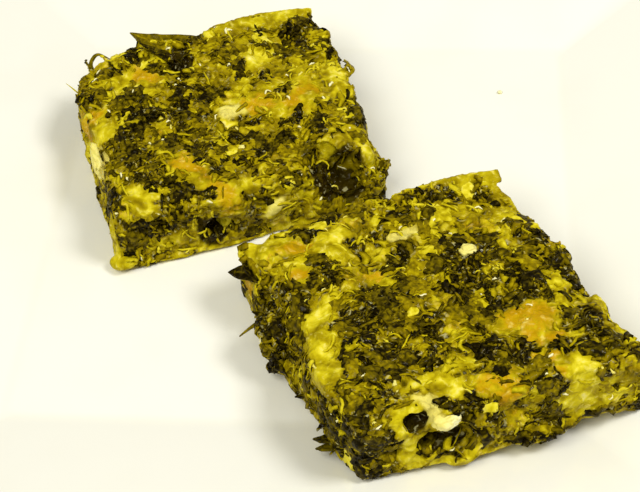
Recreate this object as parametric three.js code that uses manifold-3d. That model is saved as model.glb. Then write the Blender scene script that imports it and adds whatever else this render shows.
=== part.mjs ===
/**
 * Two squares of spinach and cheese bake lying on a square white plate.
 *
 * The plate has a flat square well and four flat rims, which rise outwards and meet in mitred creases.
 * The squares were cut from one tray. The back one lies flat in the well. The front one bridges from the
 * well to the rims, with its two near corners up on them.
 *
 * Millimetres, +Z up, the origin under the middle of the plate's foot ring.
 */
import * as THREE from 'three';
import { mergeVertices } from 'three/addons/utils/BufferGeometryUtils.js';
import { ImprovedNoise } from 'three/addons/math/ImprovedNoise.js';
import Module from 'manifold-3d';

const wasm = await Module();
wasm.setup();
const perlin = new ImprovedNoise();
const { lerp, degToRad, seededRandom, smoothstep } = THREE.MathUtils;

// The plate
const WELL_SIDE = 114;
const RIM_WIDTH = 31;
const RIM_ANGLE = degToRad(15);
const PLATE_THICKNESS = 4.5;
const FOOT_HEIGHT = 2.5;
const FOOT_OUTER_SIDE = 98;
const FOOT_WIDTH = 3.5;
const FOOT_TAPER = 0.8;
const CREASE_SOFTNESS = 0.5;
const WELL_CORNER_RADIUS = 1.5;
const PLATE_CORNER_RADIUS = 5;
const CORNER_STEPS = 5;
const LIP_STEPS = 8;

const WELL_HALF = WELL_SIDE / 2;
const WELL_HEIGHT = FOOT_HEIGHT + PLATE_THICKNESS;
const RIM_SLOPE = Math.tan(RIM_ANGLE);

// The bake, as cut from a tray of 330 by 229 into 4 by 6
const BAKE_THICKNESS = 15.2;
const CELL = 2.5;
const SIDE_LEVELS = 6;
const UNDERSIDE_RINGS = [0.35, 0.75];
const CUT_EDGE_ROUNDING = 0.9;
const CUT_EDGE_WIDTH = 1.2;
const CORNER_ROUNDING = 0.7;
const CORNER_TIGHTNESS = 9;
const BRIDGE_SAG = 1.6;
const CLEARANCE = 0.3;
const REST_HEIGHT = 0.36;
const TOP_CRAGS = 0.95;
const SIDE_CRAGS = 1.15;
const CALM_FOOT = [-0.4, 0.3];

// The lumps of the mix: how wide its broad lumps, fine lumps and creases are, and how much each adds
const LUMP_SIZES = { broad: 6.5, fine: 2.7, crease: 4.4 };
const LUMP_SHARES = { broad: 1, fine: 0.7, crease: 1.1 };
const CREASE_LEVEL = 0.35;

/**
 * The two squares. Places are millimetres from a square's own middle, x to its right and y to its back.
 * An edge's numbers say how far it runs out past the straight cut, at even steps along it: from left to
 * right at the front and back, and from front to back at the sides.
 */
const BACK_SQUARE = {
  name: 'square_back',
  middle: [-21.8, 18.4],
  turn: degToRad(20.5),
  size: [60, 54],
  noiseStart: 3.7,
  topEdges: {
    front: [-3, -0.4, 2.4, -0.4, -4.6, -2.6],
    right: [-1, -0.4, 0.4, 0.9, 0.9, -0.6],
    back: [-3.4, 0.6, -0.4, 0.4, 2, -0.4],
    left: [-1.4, -2.8, -3.8, -1.2, -0.8, -3.6],
  },
  footEdges: {
    front: [1.2, 1, 1, 1, 1.8, 1.6],
    right: [1.4, 2, 1.8, 1, 0.8, 0.2],
    back: [-2, 0.4, 0.2, 0.2, 0.6, -0.4],
    left: [0.6, -0.4, 0.2, -0.5, -0.7, -1.4],
  },
  swells: [
    { at: [18.3, -3.7], radius: 4.6, rise: 1.3 },
    { at: [1.7, -3.5], radius: 4, rise: 1 },
    { at: [-12.6, -14.8], radius: 3.4, rise: 1.1 },
    { at: [-8.4, -21.6], radius: 3.6, rise: 1.2 },
    { at: [-2.4, -25.6], radius: 3.4, rise: 0.9 },
    { at: [-25, 1.2], radius: 4.2, rise: 0.9 },
    { at: [-14.3, 16.2], radius: 4, rise: 0.8 },
    { at: [14.9, 26.4], radius: 3, rise: 1.3 },
    { at: [21.8, 25.6], radius: 3, rise: 1.4 },
    { at: [27, 22.6], radius: 3, rise: 1.2 },
    { at: [32, 6], radius: 3.4, rise: 0.9 },
    { at: [-5.4, 14.4], radius: 3.4, rise: -1.8 },
    { at: [-6.4, -5.6], radius: 4.4, rise: -0.9 },
    { at: [4.7, -15.6], radius: 3.8, rise: -1.1 },
    { at: [12.6, -19.4], radius: 3.6, rise: -1.2 },
    { at: [22.6, 13.1], radius: 4.8, rise: -0.8 },
    { at: [-19.7, -5.2], radius: 4, rise: -0.9 },
  ],
  pockets: [
    { side: 'front', along: -7.1, height: 6.6, reach: [3.3, 4.6, 2.6], lean: 0.2 },
    { side: 'front', along: 22.4, height: 9.6, reach: [3.9, 5.4, 4], lean: 0.2 },
    { side: 'front', along: 18.4, height: 13.2, reach: [3.6, 5, 3.8], lean: -0.3 },
    { side: 'front', along: -19.7, height: 9.2, reach: [1.7, 2.6, 1.6], lean: 0.5 },
    { side: 'left', along: 12, height: 6.2, reach: [2.6, 2.4, 1.8], lean: 0.3 },
    { side: 'back', along: -9, height: 7.4, reach: [3.6, 3, 2.2], lean: -0.2 },
    { side: 'back', along: 16, height: 4.6, reach: [2.4, 2.6, 1.5], lean: 0.4 },
    { side: 'right', along: 6, height: 7.8, reach: [2.8, 3, 2.1], lean: 0.1 },
  ],
  knobs: [
    { side: 'front', along: 5.6, height: 7.2, reach: [5.4, 1.8, 2.9], lean: 0.35 },
    { side: 'front', along: 28, height: 6.6, reach: [3, 1.7, 3.6], lean: 0 },
    { side: 'front', along: -27.6, height: 1.9, reach: [3.4, 2, 1.5], lean: 0 },
    { side: 'left', along: -2.6, height: 8.6, reach: [6.4, 1.5, 3.6], lean: -0.1 },
    { side: 'right', along: 12.4, height: 9.6, reach: [3.2, 1.4, 2.4], lean: 0.2 },
    { side: 'back', along: 4, height: 10.4, reach: [4.4, 1.4, 2.6], lean: 0.2 },
  ],
  leaves: [
    { spine: [[1.5, 22, 15.2], [-4.6, 25, 16.6], [-9.2, 27, 17.4], [-12.8, 30, 17]], width: 6, tilt: -0.6 },
    { spine: [[-3.4, 14.6, 14.2], [-7.2, 19.4, 16.8], [-11, 24.8, 17.2]], width: 2.2, tilt: 0.2 },
    { spine: [[-25, 22, 15.4], [-25, 24.6, 17.2], [-22, 25.6, 17.4], [-20, 22.6, 15.4]],
      width: 1.4, tilt: 0 },
    { spine: [[-27.6, 12, 13.2], [-30.6, 13, 13.8], [-32.6, 15.4, 13.4]], width: 1, tilt: 0.3 },
    { spine: [[28, -22.6, 6], [31.4, -25, 8.2], [30.6, -27.6, 11.6]], width: 5, tilt: 0.9 },
    { spine: [[30.6, 2.4, 13.4], [32.8, 4.4, 13.6], [32.4, 8.4, 12.8]], width: 2.6, tilt: 0.6 },
    { spine: [[0.6, 24.6, 14.7], [15, 26.8, 15.9], [29.6, 25, 15.2]],
      width: 3, tilt: 0.6, taper: 0.1, thick: 1.4 },
    { spine: [[-27, -27.6, 0.6], [-14, -28, 0.7], [0, -28, 0.6]], width: 1.8, tilt: 0, taper: 0.2 },
  ],
};

const FRONT_SQUARE = {
  name: 'square_front',
  middle: [27.3, -37.3],
  turn: degToRad(25.1),
  size: [55.1, 59.4],
  noiseStart: 51.2,
  topEdges: {
    front: [-3, -3.6, -2, -1, 0.2, 2],
    right: [2.6, 1.2, 0.2, 0.7, -0.7, -3],
    back: [-0.3, 0.5, 0, 0.8, -0.3, -2.6],
    left: [-0.8, 0.6, 0, -2.6, -0.6, 3.2],
  },
  footEdges: {
    front: [-2, -1.4, 0.4, 0, 0.4, 2.6],
    right: [2.6, 1.5, 1, 1, 0, -1.4],
    back: [0, -0.4, -0.6, 0, 0.4, -1],
    left: [-1, 0.8, 1.4, 4.8, 4, 5.4],
  },
  swells: [
    { at: [-16.4, 12.8], radius: 3.4, rise: 1.2 },
    { at: [-9.2, 1.4], radius: 4.8, rise: 1.1 },
    { at: [-17.8, -4.6], radius: 4.2, rise: 1.3 },
    { at: [7.7, 7.4], radius: 5.4, rise: 0.9 },
    { at: [18.3, -5.8], radius: 4.6, rise: 1.1 },
    { at: [4.8, -17.8], radius: 4.6, rise: 1 },
    { at: [24.7, -18.4], radius: 3.6, rise: 1.2 },
    { at: [13.9, -13.4], radius: 4, rise: 0.6 },
    { at: [-23.4, 22], radius: 4.6, rise: 1 },
    { at: [-12.6, 20.6], radius: 4.8, rise: 0.9 },
    { at: [10, 27.4], radius: 2.8, rise: 1.2 },
    { at: [18, 26.6], radius: 2.8, rise: 1.4 },
    { at: [24.4, 25.6], radius: 2.6, rise: 1.5 },
    { at: [11, 6.4], radius: 2, rise: 1.1 },
    { at: [-21.6, 3], radius: 3, rise: -0.6 },
    { at: [-24.6, -6], radius: 3, rise: -0.7 },
    { at: [-6.8, 15.5], radius: 2.2, rise: -1.9 },
    { at: [6, 23.4], radius: 4, rise: -0.7 },
    { at: [-4.4, -27], radius: 2.4, rise: -1.8 },
    { at: [24.6, -11], radius: 2.6, rise: -1.2 },
    { at: [19, -27], radius: 4.6, rise: 0.8 },
  ],
  pockets: [
    { side: 'front', along: -16.8, height: 12.4, reach: [2.5, 3.6, 2], lean: -0.3 },
    { side: 'front', along: -12.2, height: 6.6, reach: [5.4, 4.6, 2.1], lean: 0.12 },
    { side: 'front', along: -21.4, height: 5, reach: [2, 2.4, 1.2], lean: 0.3 },
    { side: 'right', along: -17.4, height: 12, reach: [2.8, 2.8, 2.2], lean: 0 },
    { side: 'right', along: 12, height: 6.4, reach: [3.4, 2.8, 1.9], lean: 0.2 },
    { side: 'left', along: 16.6, height: 9.4, reach: [2.2, 2.6, 2], lean: 0.2 },
    { side: 'back', along: 4, height: 6.6, reach: [3.6, 3, 2.2], lean: -0.3 },
  ],
  knobs: [
    { side: 'front', along: -11.4, height: 12.2, reach: [3, 1.7, 1.9], lean: 0.3 },
    { side: 'front', along: 1.8, height: 13.8, reach: [3.6, 1.3, 1.7], lean: 0 },
    { side: 'front', along: -8.2, height: 1.7, reach: [3.4, 1.8, 1.3], lean: 0 },
    { side: 'front', along: 22.6, height: 1.9, reach: [2.6, 1.5, 1.4], lean: 0 },
    { side: 'left', along: 8, height: 4.6, reach: [5, 2.4, 3], lean: 0 },
    { side: 'left', along: 16.4, height: 4.2, reach: [3.4, 1.8, 2.6], lean: 0 },
    { side: 'right', along: -12, height: 12.6, reach: [3, 1.5, 2.2], lean: 0 },
    { side: 'right', along: -21.4, height: 11.4, reach: [2.8, 1.4, 2.4], lean: 0 },
  ],
  leaves: [
    { spine: [[-25, 24, 14], [-29.4, 26.2, 13.6], [-33.8, 26.4, 11.6]], width: 5.6, tilt: -0.5 },
    { spine: [[-26.6, 21, 12.4], [-30, 19.4, 10.8], [-32.2, 16, 9.4]], width: 3.6, tilt: 0.9 },
    { spine: [[-30, 12, 6.4], [-34, 12.6, 7.4], [-37, 15, 6.6]], width: 1.2, tilt: 0.2 },
    { spine: [[-29.4, 9, 6.6], [-33.2, 6.4, 5], [-33.4, 1.8, 3.2]], width: 4.2, tilt: 0.9 },
    { spine: [[-27.6, -12.8, 4.4], [-30.6, -14.6, 3.6], [-33.4, -14.4, 2.9]], width: 1, tilt: 0.4 },
    { spine: [[-26.8, -19, 4.6], [-30, -20.8, 3.8], [-32.6, -20.4, 3.1]], width: 0.9, tilt: 0.2 },
    { spine: [[-6.6, -26.4, 11.2], [-3.6, -29.8, 12.4], [-1, -29.6, 15.2]], width: 3.8, tilt: 0.7 },
    { spine: [[25, -2.4, 14.6], [28, -0.6, 14.8], [28.6, 3.6, 14]], width: 3.2, tilt: 0.5 },
    { spine: [[3, 26.6, 15.2], [15, 27.2, 16.2], [26.6, 25, 15.6]],
      width: 3, tilt: 0.6, taper: 0, thick: 1.5 },
  ],
};

// Small flakes that stand out of the crust and the cut sides
const FLAKES_ON_TOP = 7;
const FLAKES_ON_SIDES = 4;
const FLAKE_LENGTH = [5, 9];
const FLAKE_WIDTH = [3, 5];
const FLAKE_RISE = [-0.5, 0.35, -0.3];
const FLAKE_TILT = 0.25;
const FLAKE_MARGIN = 5;
const FLAKE_HEIGHTS = [4, 12];
const LEAF_THICKNESS = 0.6;
const LEAF_WAVE = 0.5;
const LEAF_TAPER = 0.72;
const LEAF_WIDEST = [0.16, 0.96];
const LEAF_RIPPLES = [2.6, 1.9];
const LEAF_STEPS = 5;
const FLAKE_STEPS = 3;
const RAGGEDNESS = 0.36;
const BLOB_DETAIL = 1.7;

/** Height of the plate's upper surface above the well, at a place on the plate. */
function rimRise(x, y) {
  return RIM_SLOPE * Math.max(0, Math.abs(x) - WELL_HALF, Math.abs(y) - WELL_HALF);
}

/** A level square loop with round corners, anticlockwise from above. */
function squareLoop(half, radius, z) {
  const loop = [];
  for (let corner = 0; corner < 4; corner++) {
    for (let step = 0; step <= CORNER_STEPS; step++) {
      const angle = (corner + step / CORNER_STEPS) * (Math.PI / 2);
      const centre = new THREE.Vector2(half - radius, half - radius)
        .rotateAround(new THREE.Vector2(), corner * (Math.PI / 2));
      loop.push(new THREE.Vector3(
        centre.x + radius * Math.cos(angle), centre.y + radius * Math.sin(angle), z));
    }
  }
  return loop;
}

/** An indexed geometry from a list of points and a list of corner numbers. */
function indexed(points, corners) {
  const geometry = new THREE.BufferGeometry().setFromPoints(points);
  geometry.setIndex(corners);
  return geometry;
}

/** A closed skin over loops of as many points each, from the middle of the first to that of the last. */
function loft(loops) {
  const points = loops.flat();
  const count = loops[0].length;
  const corners = [];
  for (let row = 0; row + 1 < loops.length; row++) {
    for (let i = 0; i < count; i++) {
      const j = (i + 1) % count;
      const [a, b] = [row * count + i, row * count + j];
      const [c, d] = [b + count, a + count];
      corners.push(a, b, c, a, c, d);
    }
  }
  const [under, over] = [points.length, points.length + 1];
  const last = (loops.length - 1) * count;
  points.push(new THREE.Vector3(0, 0, loops[0][0].z), new THREE.Vector3(0, 0, loops.at(-1)[0].z));
  for (let i = 0; i < count; i++) {
    const j = (i + 1) % count;
    corners.push(under, j, i, over, last + i, last + j);
  }
  return indexed(points, corners);
}

/** The plate's section as [half side, corner radius, height], from under its middle round to the top. */
function plateSection() {
  const rimHalf = WELL_HALF + RIM_WIDTH;
  const lipRadius = PLATE_THICKNESS / 2;
  const lipCentre = rimHalf - lipRadius;
  const lipHeight = WELL_HEIGHT + RIM_SLOPE * (lipCentre - WELL_HALF) - lipRadius / Math.cos(RIM_ANGLE);
  const footOuter = FOOT_OUTER_SIDE / 2;
  const footInner = footOuter - FOOT_WIDTH;
  const underCrease = WELL_HALF + PLATE_THICKNESS * Math.tan(RIM_ANGLE / 2);
  const section = [
    [footInner - FOOT_TAPER, WELL_CORNER_RADIUS, FOOT_HEIGHT],
    [footInner, WELL_CORNER_RADIUS, 0],
    [footOuter, WELL_CORNER_RADIUS, 0],
    [footOuter + FOOT_TAPER, WELL_CORNER_RADIUS, FOOT_HEIGHT],
    [underCrease, WELL_CORNER_RADIUS, FOOT_HEIGHT],
  ];
  for (let step = 0; step <= LIP_STEPS; step++) {
    const angle = RIM_ANGLE + Math.PI * (step / LIP_STEPS - 0.5);
    section.push([
      lipCentre + lipRadius * Math.cos(angle),
      PLATE_CORNER_RADIUS,
      lipHeight + lipRadius * Math.sin(angle),
    ]);
  }
  const softRise = CREASE_SOFTNESS * RIM_SLOPE;
  section.push(
    [WELL_HALF + CREASE_SOFTNESS, WELL_CORNER_RADIUS, WELL_HEIGHT + softRise],
    [WELL_HALF, WELL_CORNER_RADIUS, WELL_HEIGHT + softRise / 4],
    [WELL_HALF - CREASE_SOFTNESS, WELL_CORNER_RADIUS, WELL_HEIGHT],
  );
  return section;
}

/** A closed geometry as a solid that can be joined and cut. */
function solid(geometry) {
  const bare = geometry.clone();
  bare.deleteAttribute('normal');
  bare.deleteAttribute('uv');
  const merged = mergeVertices(bare, 1e-4);
  return new wasm.Manifold(new wasm.Mesh({
    numProp: 3,
    vertProperties: new Float32Array(merged.attributes.position.array),
    triVerts: new Uint32Array(merged.index.array),
  }));
}

/** A solid's geometry, ready for a mesh. */
function geometryOf(body) {
  const { vertProperties, triVerts } = body.getMesh();
  const geometry = new THREE.BufferGeometry();
  geometry.setAttribute('position', new THREE.BufferAttribute(new Float32Array(vertProperties), 3));
  geometry.setIndex(new THREE.BufferAttribute(new Uint32Array(triVerts), 1));
  geometry.computeVertexNormals();
  return geometry;
}

/** The largest piece of a joined solid, with no loose scrap and no sealed hollow. */
function onePiece(body) {
  return body.decompose().reduce((best, part) => (part.volume() > best.volume() ? part : best));
}

/** A smooth value between evenly spaced numbers. */
function along(numbers, share) {
  const points = numbers.map((number, i) => new THREE.Vector2(i / (numbers.length - 1), number));
  return new THREE.SplineCurve(points).getPoint(share).y;
}

/** How far the four edges run out past the straight cut at u across, v to the back and t of the height. */
function runOut(square, u, v, t) {
  const edge = (name, share) => lerp(
    along(square.footEdges[name], share), along(square.topEdges[name], share), t);
  return { front: edge('front', u), back: edge('back', u), left: edge('left', v), right: edge('right', v) };
}

/** Rough lumps and creases, from about -1 to 1, at a place in the bake. */
function crag(x, y, z) {
  const lumps = (size) => perlin.noise(x / size, y / size, z / size);
  return LUMP_SHARES.broad * lumps(LUMP_SIZES.broad)
    + LUMP_SHARES.fine * lumps(LUMP_SIZES.fine)
    + LUMP_SHARES.crease * (CREASE_LEVEL - Math.abs(lumps(LUMP_SIZES.crease)));
}

/** The named swells and dips of the crust, summed at a place. */
function swell(square, x, y) {
  return square.swells.reduce((sum, { at, radius, rise }) => {
    const away = Math.hypot(x - at[0], y - at[1]) / radius;
    return sum + rise * Math.exp(-away * away);
  }, 0);
}

/** How high a near corner lies above the well where it rests on the rims. */
function cornerRise(square, u) {
  const [width, depth] = square.size;
  const edges = runOut(square, u, 0, 0);
  const x = lerp(-width / 2 - edges.left, width / 2 + edges.right, u);
  const place = inPlate(square, x, -depth / 2 - edges.front);
  return rimRise(place.x, place.y);
}

/** A place on a square as a place on the plate. */
function inPlate(square, x, y) {
  return new THREE.Vector2(x, y).rotateAround(new THREE.Vector2(), square.turn)
    .add(new THREE.Vector2(...square.middle));
}

/** How far the square is lifted at u across and v to the back, as it bridges from the well to the rims. */
function bridge(square, u, v) {
  const near = lerp(square.nearRise[0], square.nearRise[1], THREE.MathUtils.clamp(u, 0, 1));
  return near * (1 - THREE.MathUtils.clamp(v, 0, 1)) ** BRIDGE_SAG;
}

/** Keeps a square's point clear of the plate and gives it in the plate's frame. */
function settle(square, point, lift) {
  const place = inPlate(square, point.x, point.y);
  const floor = rimRise(place.x, place.y) + REST_HEIGHT;
  return new THREE.Vector3(place.x, place.y, WELL_HEIGHT + Math.max(floor, point.z + lift + REST_HEIGHT));
}

/** A point of the square's skin at u across, v to the back and t of the height, before it is placed. */
function skinPoint(square, u, v, t, outward) {
  const [width, depth] = square.size;
  const edges = runOut(square, u, v, t);
  const nearCorner = (Math.abs(2 * u - 1) * Math.abs(2 * v - 1)) ** CORNER_TIGHTNESS;
  const inwards = CORNER_ROUNDING * nearCorner + (outward.z > 0 ? CUT_EDGE_ROUNDING / 2 : 0);
  const x = lerp(-width / 2 - edges.left + inwards, width / 2 + edges.right - inwards, u);
  const y = lerp(-depth / 2 - edges.front + inwards, depth / 2 + edges.back - inwards, v);
  const base = BAKE_THICKNESS * t;
  const rough = crag(x + square.noiseStart, y, base + square.noiseStart);
  const sideways = SIDE_CRAGS * rough * Math.hypot(outward.x, outward.y) * smoothstep(t, ...CALM_FOOT);
  const point = new THREE.Vector3(x + outward.x * sideways, y + outward.y * sideways, base);
  if (t === 1) {
    const fromEdge = Math.min(u * width, (1 - u) * width, v * depth, (1 - v) * depth);
    point.z += TOP_CRAGS * rough + swell(square, x, y);
    point.z -= CUT_EDGE_ROUNDING * Math.exp(-fromEdge / CUT_EDGE_WIDTH);
  }
  return point;
}

/** The stations round a square's edge, anticlockwise from its front left corner. */
function perimeter(columns, rows) {
  const stations = [];
  const slant = Math.SQRT1_2;
  for (let i = 0; i < columns; i++) stations.push({ u: i / columns, v: 0, x: 0, y: -1 });
  for (let i = 0; i < rows; i++) stations.push({ u: 1, v: i / rows, x: 1, y: 0 });
  for (let i = 0; i < columns; i++) stations.push({ u: 1 - i / columns, v: 1, x: 0, y: 1 });
  for (let i = 0; i < rows; i++) stations.push({ u: 0, v: 1 - i / rows, x: -1, y: 0 });
  for (const station of stations) {
    if (Math.abs(2 * station.u - 1) === 1 && Math.abs(2 * station.v - 1) === 1) {
      station.x = slant * Math.sign(2 * station.u - 1);
      station.y = slant * Math.sign(2 * station.v - 1);
    }
  }
  return stations;
}

/** The square's body: a gridded top, craggy cut sides and a plain underside, in the plate's frame. */
function squareBody(square) {
  const columns = Math.round(square.size[0] / CELL);
  const rows = Math.round(square.size[1] / CELL);
  const stations = perimeter(columns, rows);
  const points = [];
  const corners = [];
  const put = (u, v, t, outward) => {
    points.push(settle(square, skinPoint(square, u, v, t, outward), bridge(square, u, v)));
    return points.length - 1;
  };
  const level = new THREE.Vector3();
  const rings = UNDERSIDE_RINGS.map((share) => stations.map(({ u, v }) => (
    put(lerp(0.5, u, share), lerp(0.5, v, share), 0, level))));
  for (let step = 0; step <= SIDE_LEVELS; step++) {
    const t = step / SIDE_LEVELS;
    rings.push(stations.map(({ u, v, x, y }) => put(u, v, t, new THREE.Vector3(x, y, t === 1 ? 1 : 0))));
  }
  for (let row = 0; row + 1 < rings.length; row++) {
    stations.forEach((station, i) => {
      const j = (i + 1) % stations.length;
      corners.push(rings[row][i], rings[row][j], rings[row + 1][j]);
      corners.push(rings[row][i], rings[row + 1][j], rings[row + 1][i]);
    });
  }
  const under = put(0.5, 0.5, 0, level);
  stations.forEach((station, i) => corners.push(under, rings[0][(i + 1) % stations.length], rings[0][i]));

  const edge = rings.at(-1);
  const up = new THREE.Vector3(0, 0, 1);
  const grid = [];
  for (let row = 0; row <= rows; row++) {
    grid.push([]);
    for (let column = 0; column <= columns; column++) {
      if (row === 0) grid[row].push(edge[column]);
      else if (column === columns) grid[row].push(edge[columns + row]);
      else if (row === rows) grid[row].push(edge[columns + rows + (columns - column)]);
      else if (column === 0) grid[row].push(edge[2 * columns + rows + (rows - row)]);
      else grid[row].push(put(column / columns, row / rows, 1, up));
    }
  }
  for (let row = 0; row < rows; row++) {
    for (let column = 0; column < columns; column++) {
      const [a, b] = [grid[row][column], grid[row][column + 1]];
      const [c, d] = [grid[row + 1][column + 1], grid[row + 1][column]];
      corners.push(a, b, c, a, c, d);
    }
  }
  return solid(indexed(points, corners));
}

/** Where a point lies on one of the square's cut sides, and which way that side faces. */
function onSide(square, side, offset, height) {
  const [width, depth] = square.size;
  const facing = {
    front: [0, -1], right: [1, 0], back: [0, 1], left: [-1, 0],
  }[side];
  const across = side === 'front' || side === 'back';
  const share = across ? offset / width + 0.5 : offset / depth + 0.5;
  const u = across ? share : Number(side === 'right');
  const v = across ? Number(side === 'back') : share;
  const point = skinPoint(square, u, v, height / BAKE_THICKNESS, new THREE.Vector3());
  return { point: point.setZ(height), facing: new THREE.Vector3(...facing, 0), u, v };
}

/** A ragged blob whose reach is given along, out of and up a cut side. */
function blob(square, { side, along: offset, height, reach, lean }) {
  const { point, facing, u, v } = onSide(square, side, offset, height);
  const geometry = new THREE.IcosahedronGeometry(1, 1);
  const position = geometry.attributes.position;
  const corner = new THREE.Vector3();
  const radii = new THREE.Vector3(reach[1], reach[0], reach[2]);
  const turned = new THREE.Euler(lean, 0, Math.atan2(facing.y, facing.x), 'ZYX');
  for (let i = 0; i < position.count; i++) {
    corner.fromBufferAttribute(position, i);
    const [x, y, z] = corner.clone().multiplyScalar(BLOB_DETAIL).toArray();
    const ragged = 1 + RAGGEDNESS * perlin.noise(x + offset, y + height, z);
    corner.multiplyScalar(ragged).multiply(radii).applyEuler(turned).add(point);
    position.setXYZ(i, ...corner);
  }
  return solid(placed(square, geometry, bridge(square, u, v)));
}

/** A geometry that was made on the square, moved to where the square lies on the plate. */
function placed(square, geometry, lift) {
  return geometry
    .rotateZ(square.turn)
    .translate(square.middle[0], square.middle[1], WELL_HEIGHT + REST_HEIGHT + lift);
}

/** A thin wavy leaf along a spine, widest near its middle, both faces split into triangles alike. */
function leaf({ spine, width, tilt, taper = LEAF_TAPER, thick = LEAF_THICKNESS }, steps, wave) {
  const curve = new THREE.CatmullRomCurve3(spine.map((point) => new THREE.Vector3(...point)));
  const half = 1;
  const faces = [-0.5, 0.5].map((side) => {
    const face = [];
    for (let i = 0; i <= steps; i++) {
      const share = i / steps;
      const centre = curve.getPoint(share);
      const forward = curve.getTangent(share);
      const level = new THREE.Vector3(-forward.y, forward.x, 0).normalize();
      const across = level.applyAxisAngle(forward, tilt);
      const normal = new THREE.Vector3().crossVectors(forward, across).normalize();
      const reach = (width / 2) * (1 - taper + taper * Math.sin(Math.PI * lerp(...LEAF_WIDEST, share)));
      for (let j = -half; j <= half; j++) {
        const ripple = wave * Math.sin(LEAF_RIPPLES[0] * i + LEAF_RIPPLES[1] * j + width);
        face.push(centre.clone()
          .addScaledVector(across, reach * (j / half))
          .addScaledVector(normal, ripple + side * thick));
      }
    }
    return face;
  });
  const points = faces.flat();
  const stride = 2 * half + 1;
  const back = faces[0].length;
  const corners = [];
  for (let i = 0; i < steps; i++) {
    for (let j = 0; j < 2 * half; j++) {
      const a = i * stride + j;
      const [b, c, d] = [a + 1, a + stride + 1, a + stride];
      corners.push(a, b, c, a, c, d);
      corners.push(back + a, back + c, back + b, back + a, back + d, back + c);
    }
    for (const j of [0, 2 * half]) {
      const [a, d] = [i * stride + j, (i + 1) * stride + j];
      const rim = [a, d, back + d, a, back + d, back + a];
      corners.push(...(j === 0 ? rim : rim.reverse()));
    }
  }
  for (let j = 0; j < 2 * half; j++) {
    for (const i of [0, steps]) {
      const [a, b] = [i * stride + j, i * stride + j + 1];
      const rim = [a, back + a, back + b, a, back + b, b];
      corners.push(...(i === 0 ? rim : rim.reverse()));
    }
  }
  return indexed(points, corners);
}

/** One of the square's named leaves, in its place. */
function namedLeaf(square, wanted) {
  const [width, depth] = square.size;
  const [x, y] = wanted.spine[0];
  const lift = bridge(square, x / width + 0.5, y / depth + 0.5);
  return solid(placed(square, leaf(wanted, LEAF_STEPS, LEAF_WAVE), lift));
}

/** A small flake that rises out of the skin at a drawn place and heading. */
function flake(square, onTop) {
  const [width, depth] = square.size;
  const drawn = (size) => lerp(FLAKE_MARGIN - size / 2, size / 2 - FLAKE_MARGIN, seededRandom());
  const length = lerp(...FLAKE_LENGTH, seededRandom());
  const breadth = lerp(...FLAKE_WIDTH, seededRandom());
  const heading = 2 * Math.PI * seededRandom();
  const up = new THREE.Vector3(0, 0, 1);
  let start;
  let forward;
  if (onTop) {
    const [u, v] = [drawn(width) / width + 0.5, drawn(depth) / depth + 0.5];
    start = { point: skinPoint(square, u, v, 1, up), facing: up, u, v };
    forward = new THREE.Vector3(Math.cos(heading), Math.sin(heading), 0);
  } else {
    const side = ['front', 'right', 'back', 'left'][Math.floor(4 * seededRandom())];
    const reach = side === 'front' || side === 'back' ? width : depth;
    start = onSide(square, side, drawn(reach), lerp(...FLAKE_HEIGHTS, seededRandom()));
    forward = new THREE.Vector3(-start.facing.y, start.facing.x, Math.sin(heading) / 2).normalize();
  }
  const spine = FLAKE_RISE.map((rise, i) => start.point.clone()
    .addScaledVector(forward, (i / (FLAKE_RISE.length - 1) - 0.5) * length)
    .addScaledVector(start.facing, rise).toArray());
  const tilt = FLAKE_TILT * Math.sin(3 * heading) + (onTop ? 0 : Math.PI / 2);
  const shape = leaf({ spine, width: breadth, tilt }, FLAKE_STEPS, LEAF_WAVE / 2);
  return solid(placed(square, shape, bridge(square, start.u, start.v)));
}

/** One square of bake: its body with pockets cut out and lumps, leaves and flakes joined on. */
function bakeSquare(square, plate) {
  square.nearRise = [cornerRise(square, 0), cornerRise(square, 1)];
  let body = squareBody(square);
  square.pockets.forEach((pocket) => { body = body.subtract(blob(square, pocket)); });
  square.knobs.forEach((knob) => { body = body.add(blob(square, knob)); });
  square.leaves.forEach((wanted) => { body = body.add(namedLeaf(square, wanted)); });
  seededRandom(Math.round(square.noiseStart));
  for (let i = 0; i < FLAKES_ON_TOP; i++) body = body.add(flake(square, true));
  for (let i = 0; i < FLAKES_ON_SIDES; i++) body = body.add(flake(square, false));
  return onePiece(body.subtract(plate.translate([0, 0, CLEARANCE])));
}

/** A named mesh of its own material. */
function namedMesh(name, geometry, color, roughness) {
  const mesh = new THREE.Mesh(geometry, new THREE.MeshStandardMaterial({ color, roughness, metalness: 0 }));
  mesh.name = name;
  return mesh;
}

const plateGeometry = loft(plateSection().map(([half, radius, z]) => squareLoop(half, radius, z)));
const plateSolid = solid(plateGeometry);

const group = new THREE.Group();
group.add(namedMesh('plate', plateGeometry, 0xf7f5e8, 0.15));
for (const square of [BACK_SQUARE, FRONT_SQUARE]) {
  group.add(namedMesh(square.name, geometryOf(bakeSquare(square, plateSolid)), 0x96841a, 0.55));
}

export default group;
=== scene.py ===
"""Two squares of spinach and cheese bake on a square white plate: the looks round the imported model.

Each square is a craggy core of baked custard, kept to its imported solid, with chopped spinach, threads,
leaves and cheese laid into its skin. The plate is a smooth glazed piece. Sizes are in millimetres where
a name or a comment says so, and everything that is built is in metres, in the model's own frame.
"""
import logging
import math
import random
from dataclasses import dataclass, field
from enum import Enum

import bmesh
import bpy
import numpy as np
from mathutils import Matrix, Quaternion, Vector, noise
from mathutils.bvhtree import BVHTree

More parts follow.
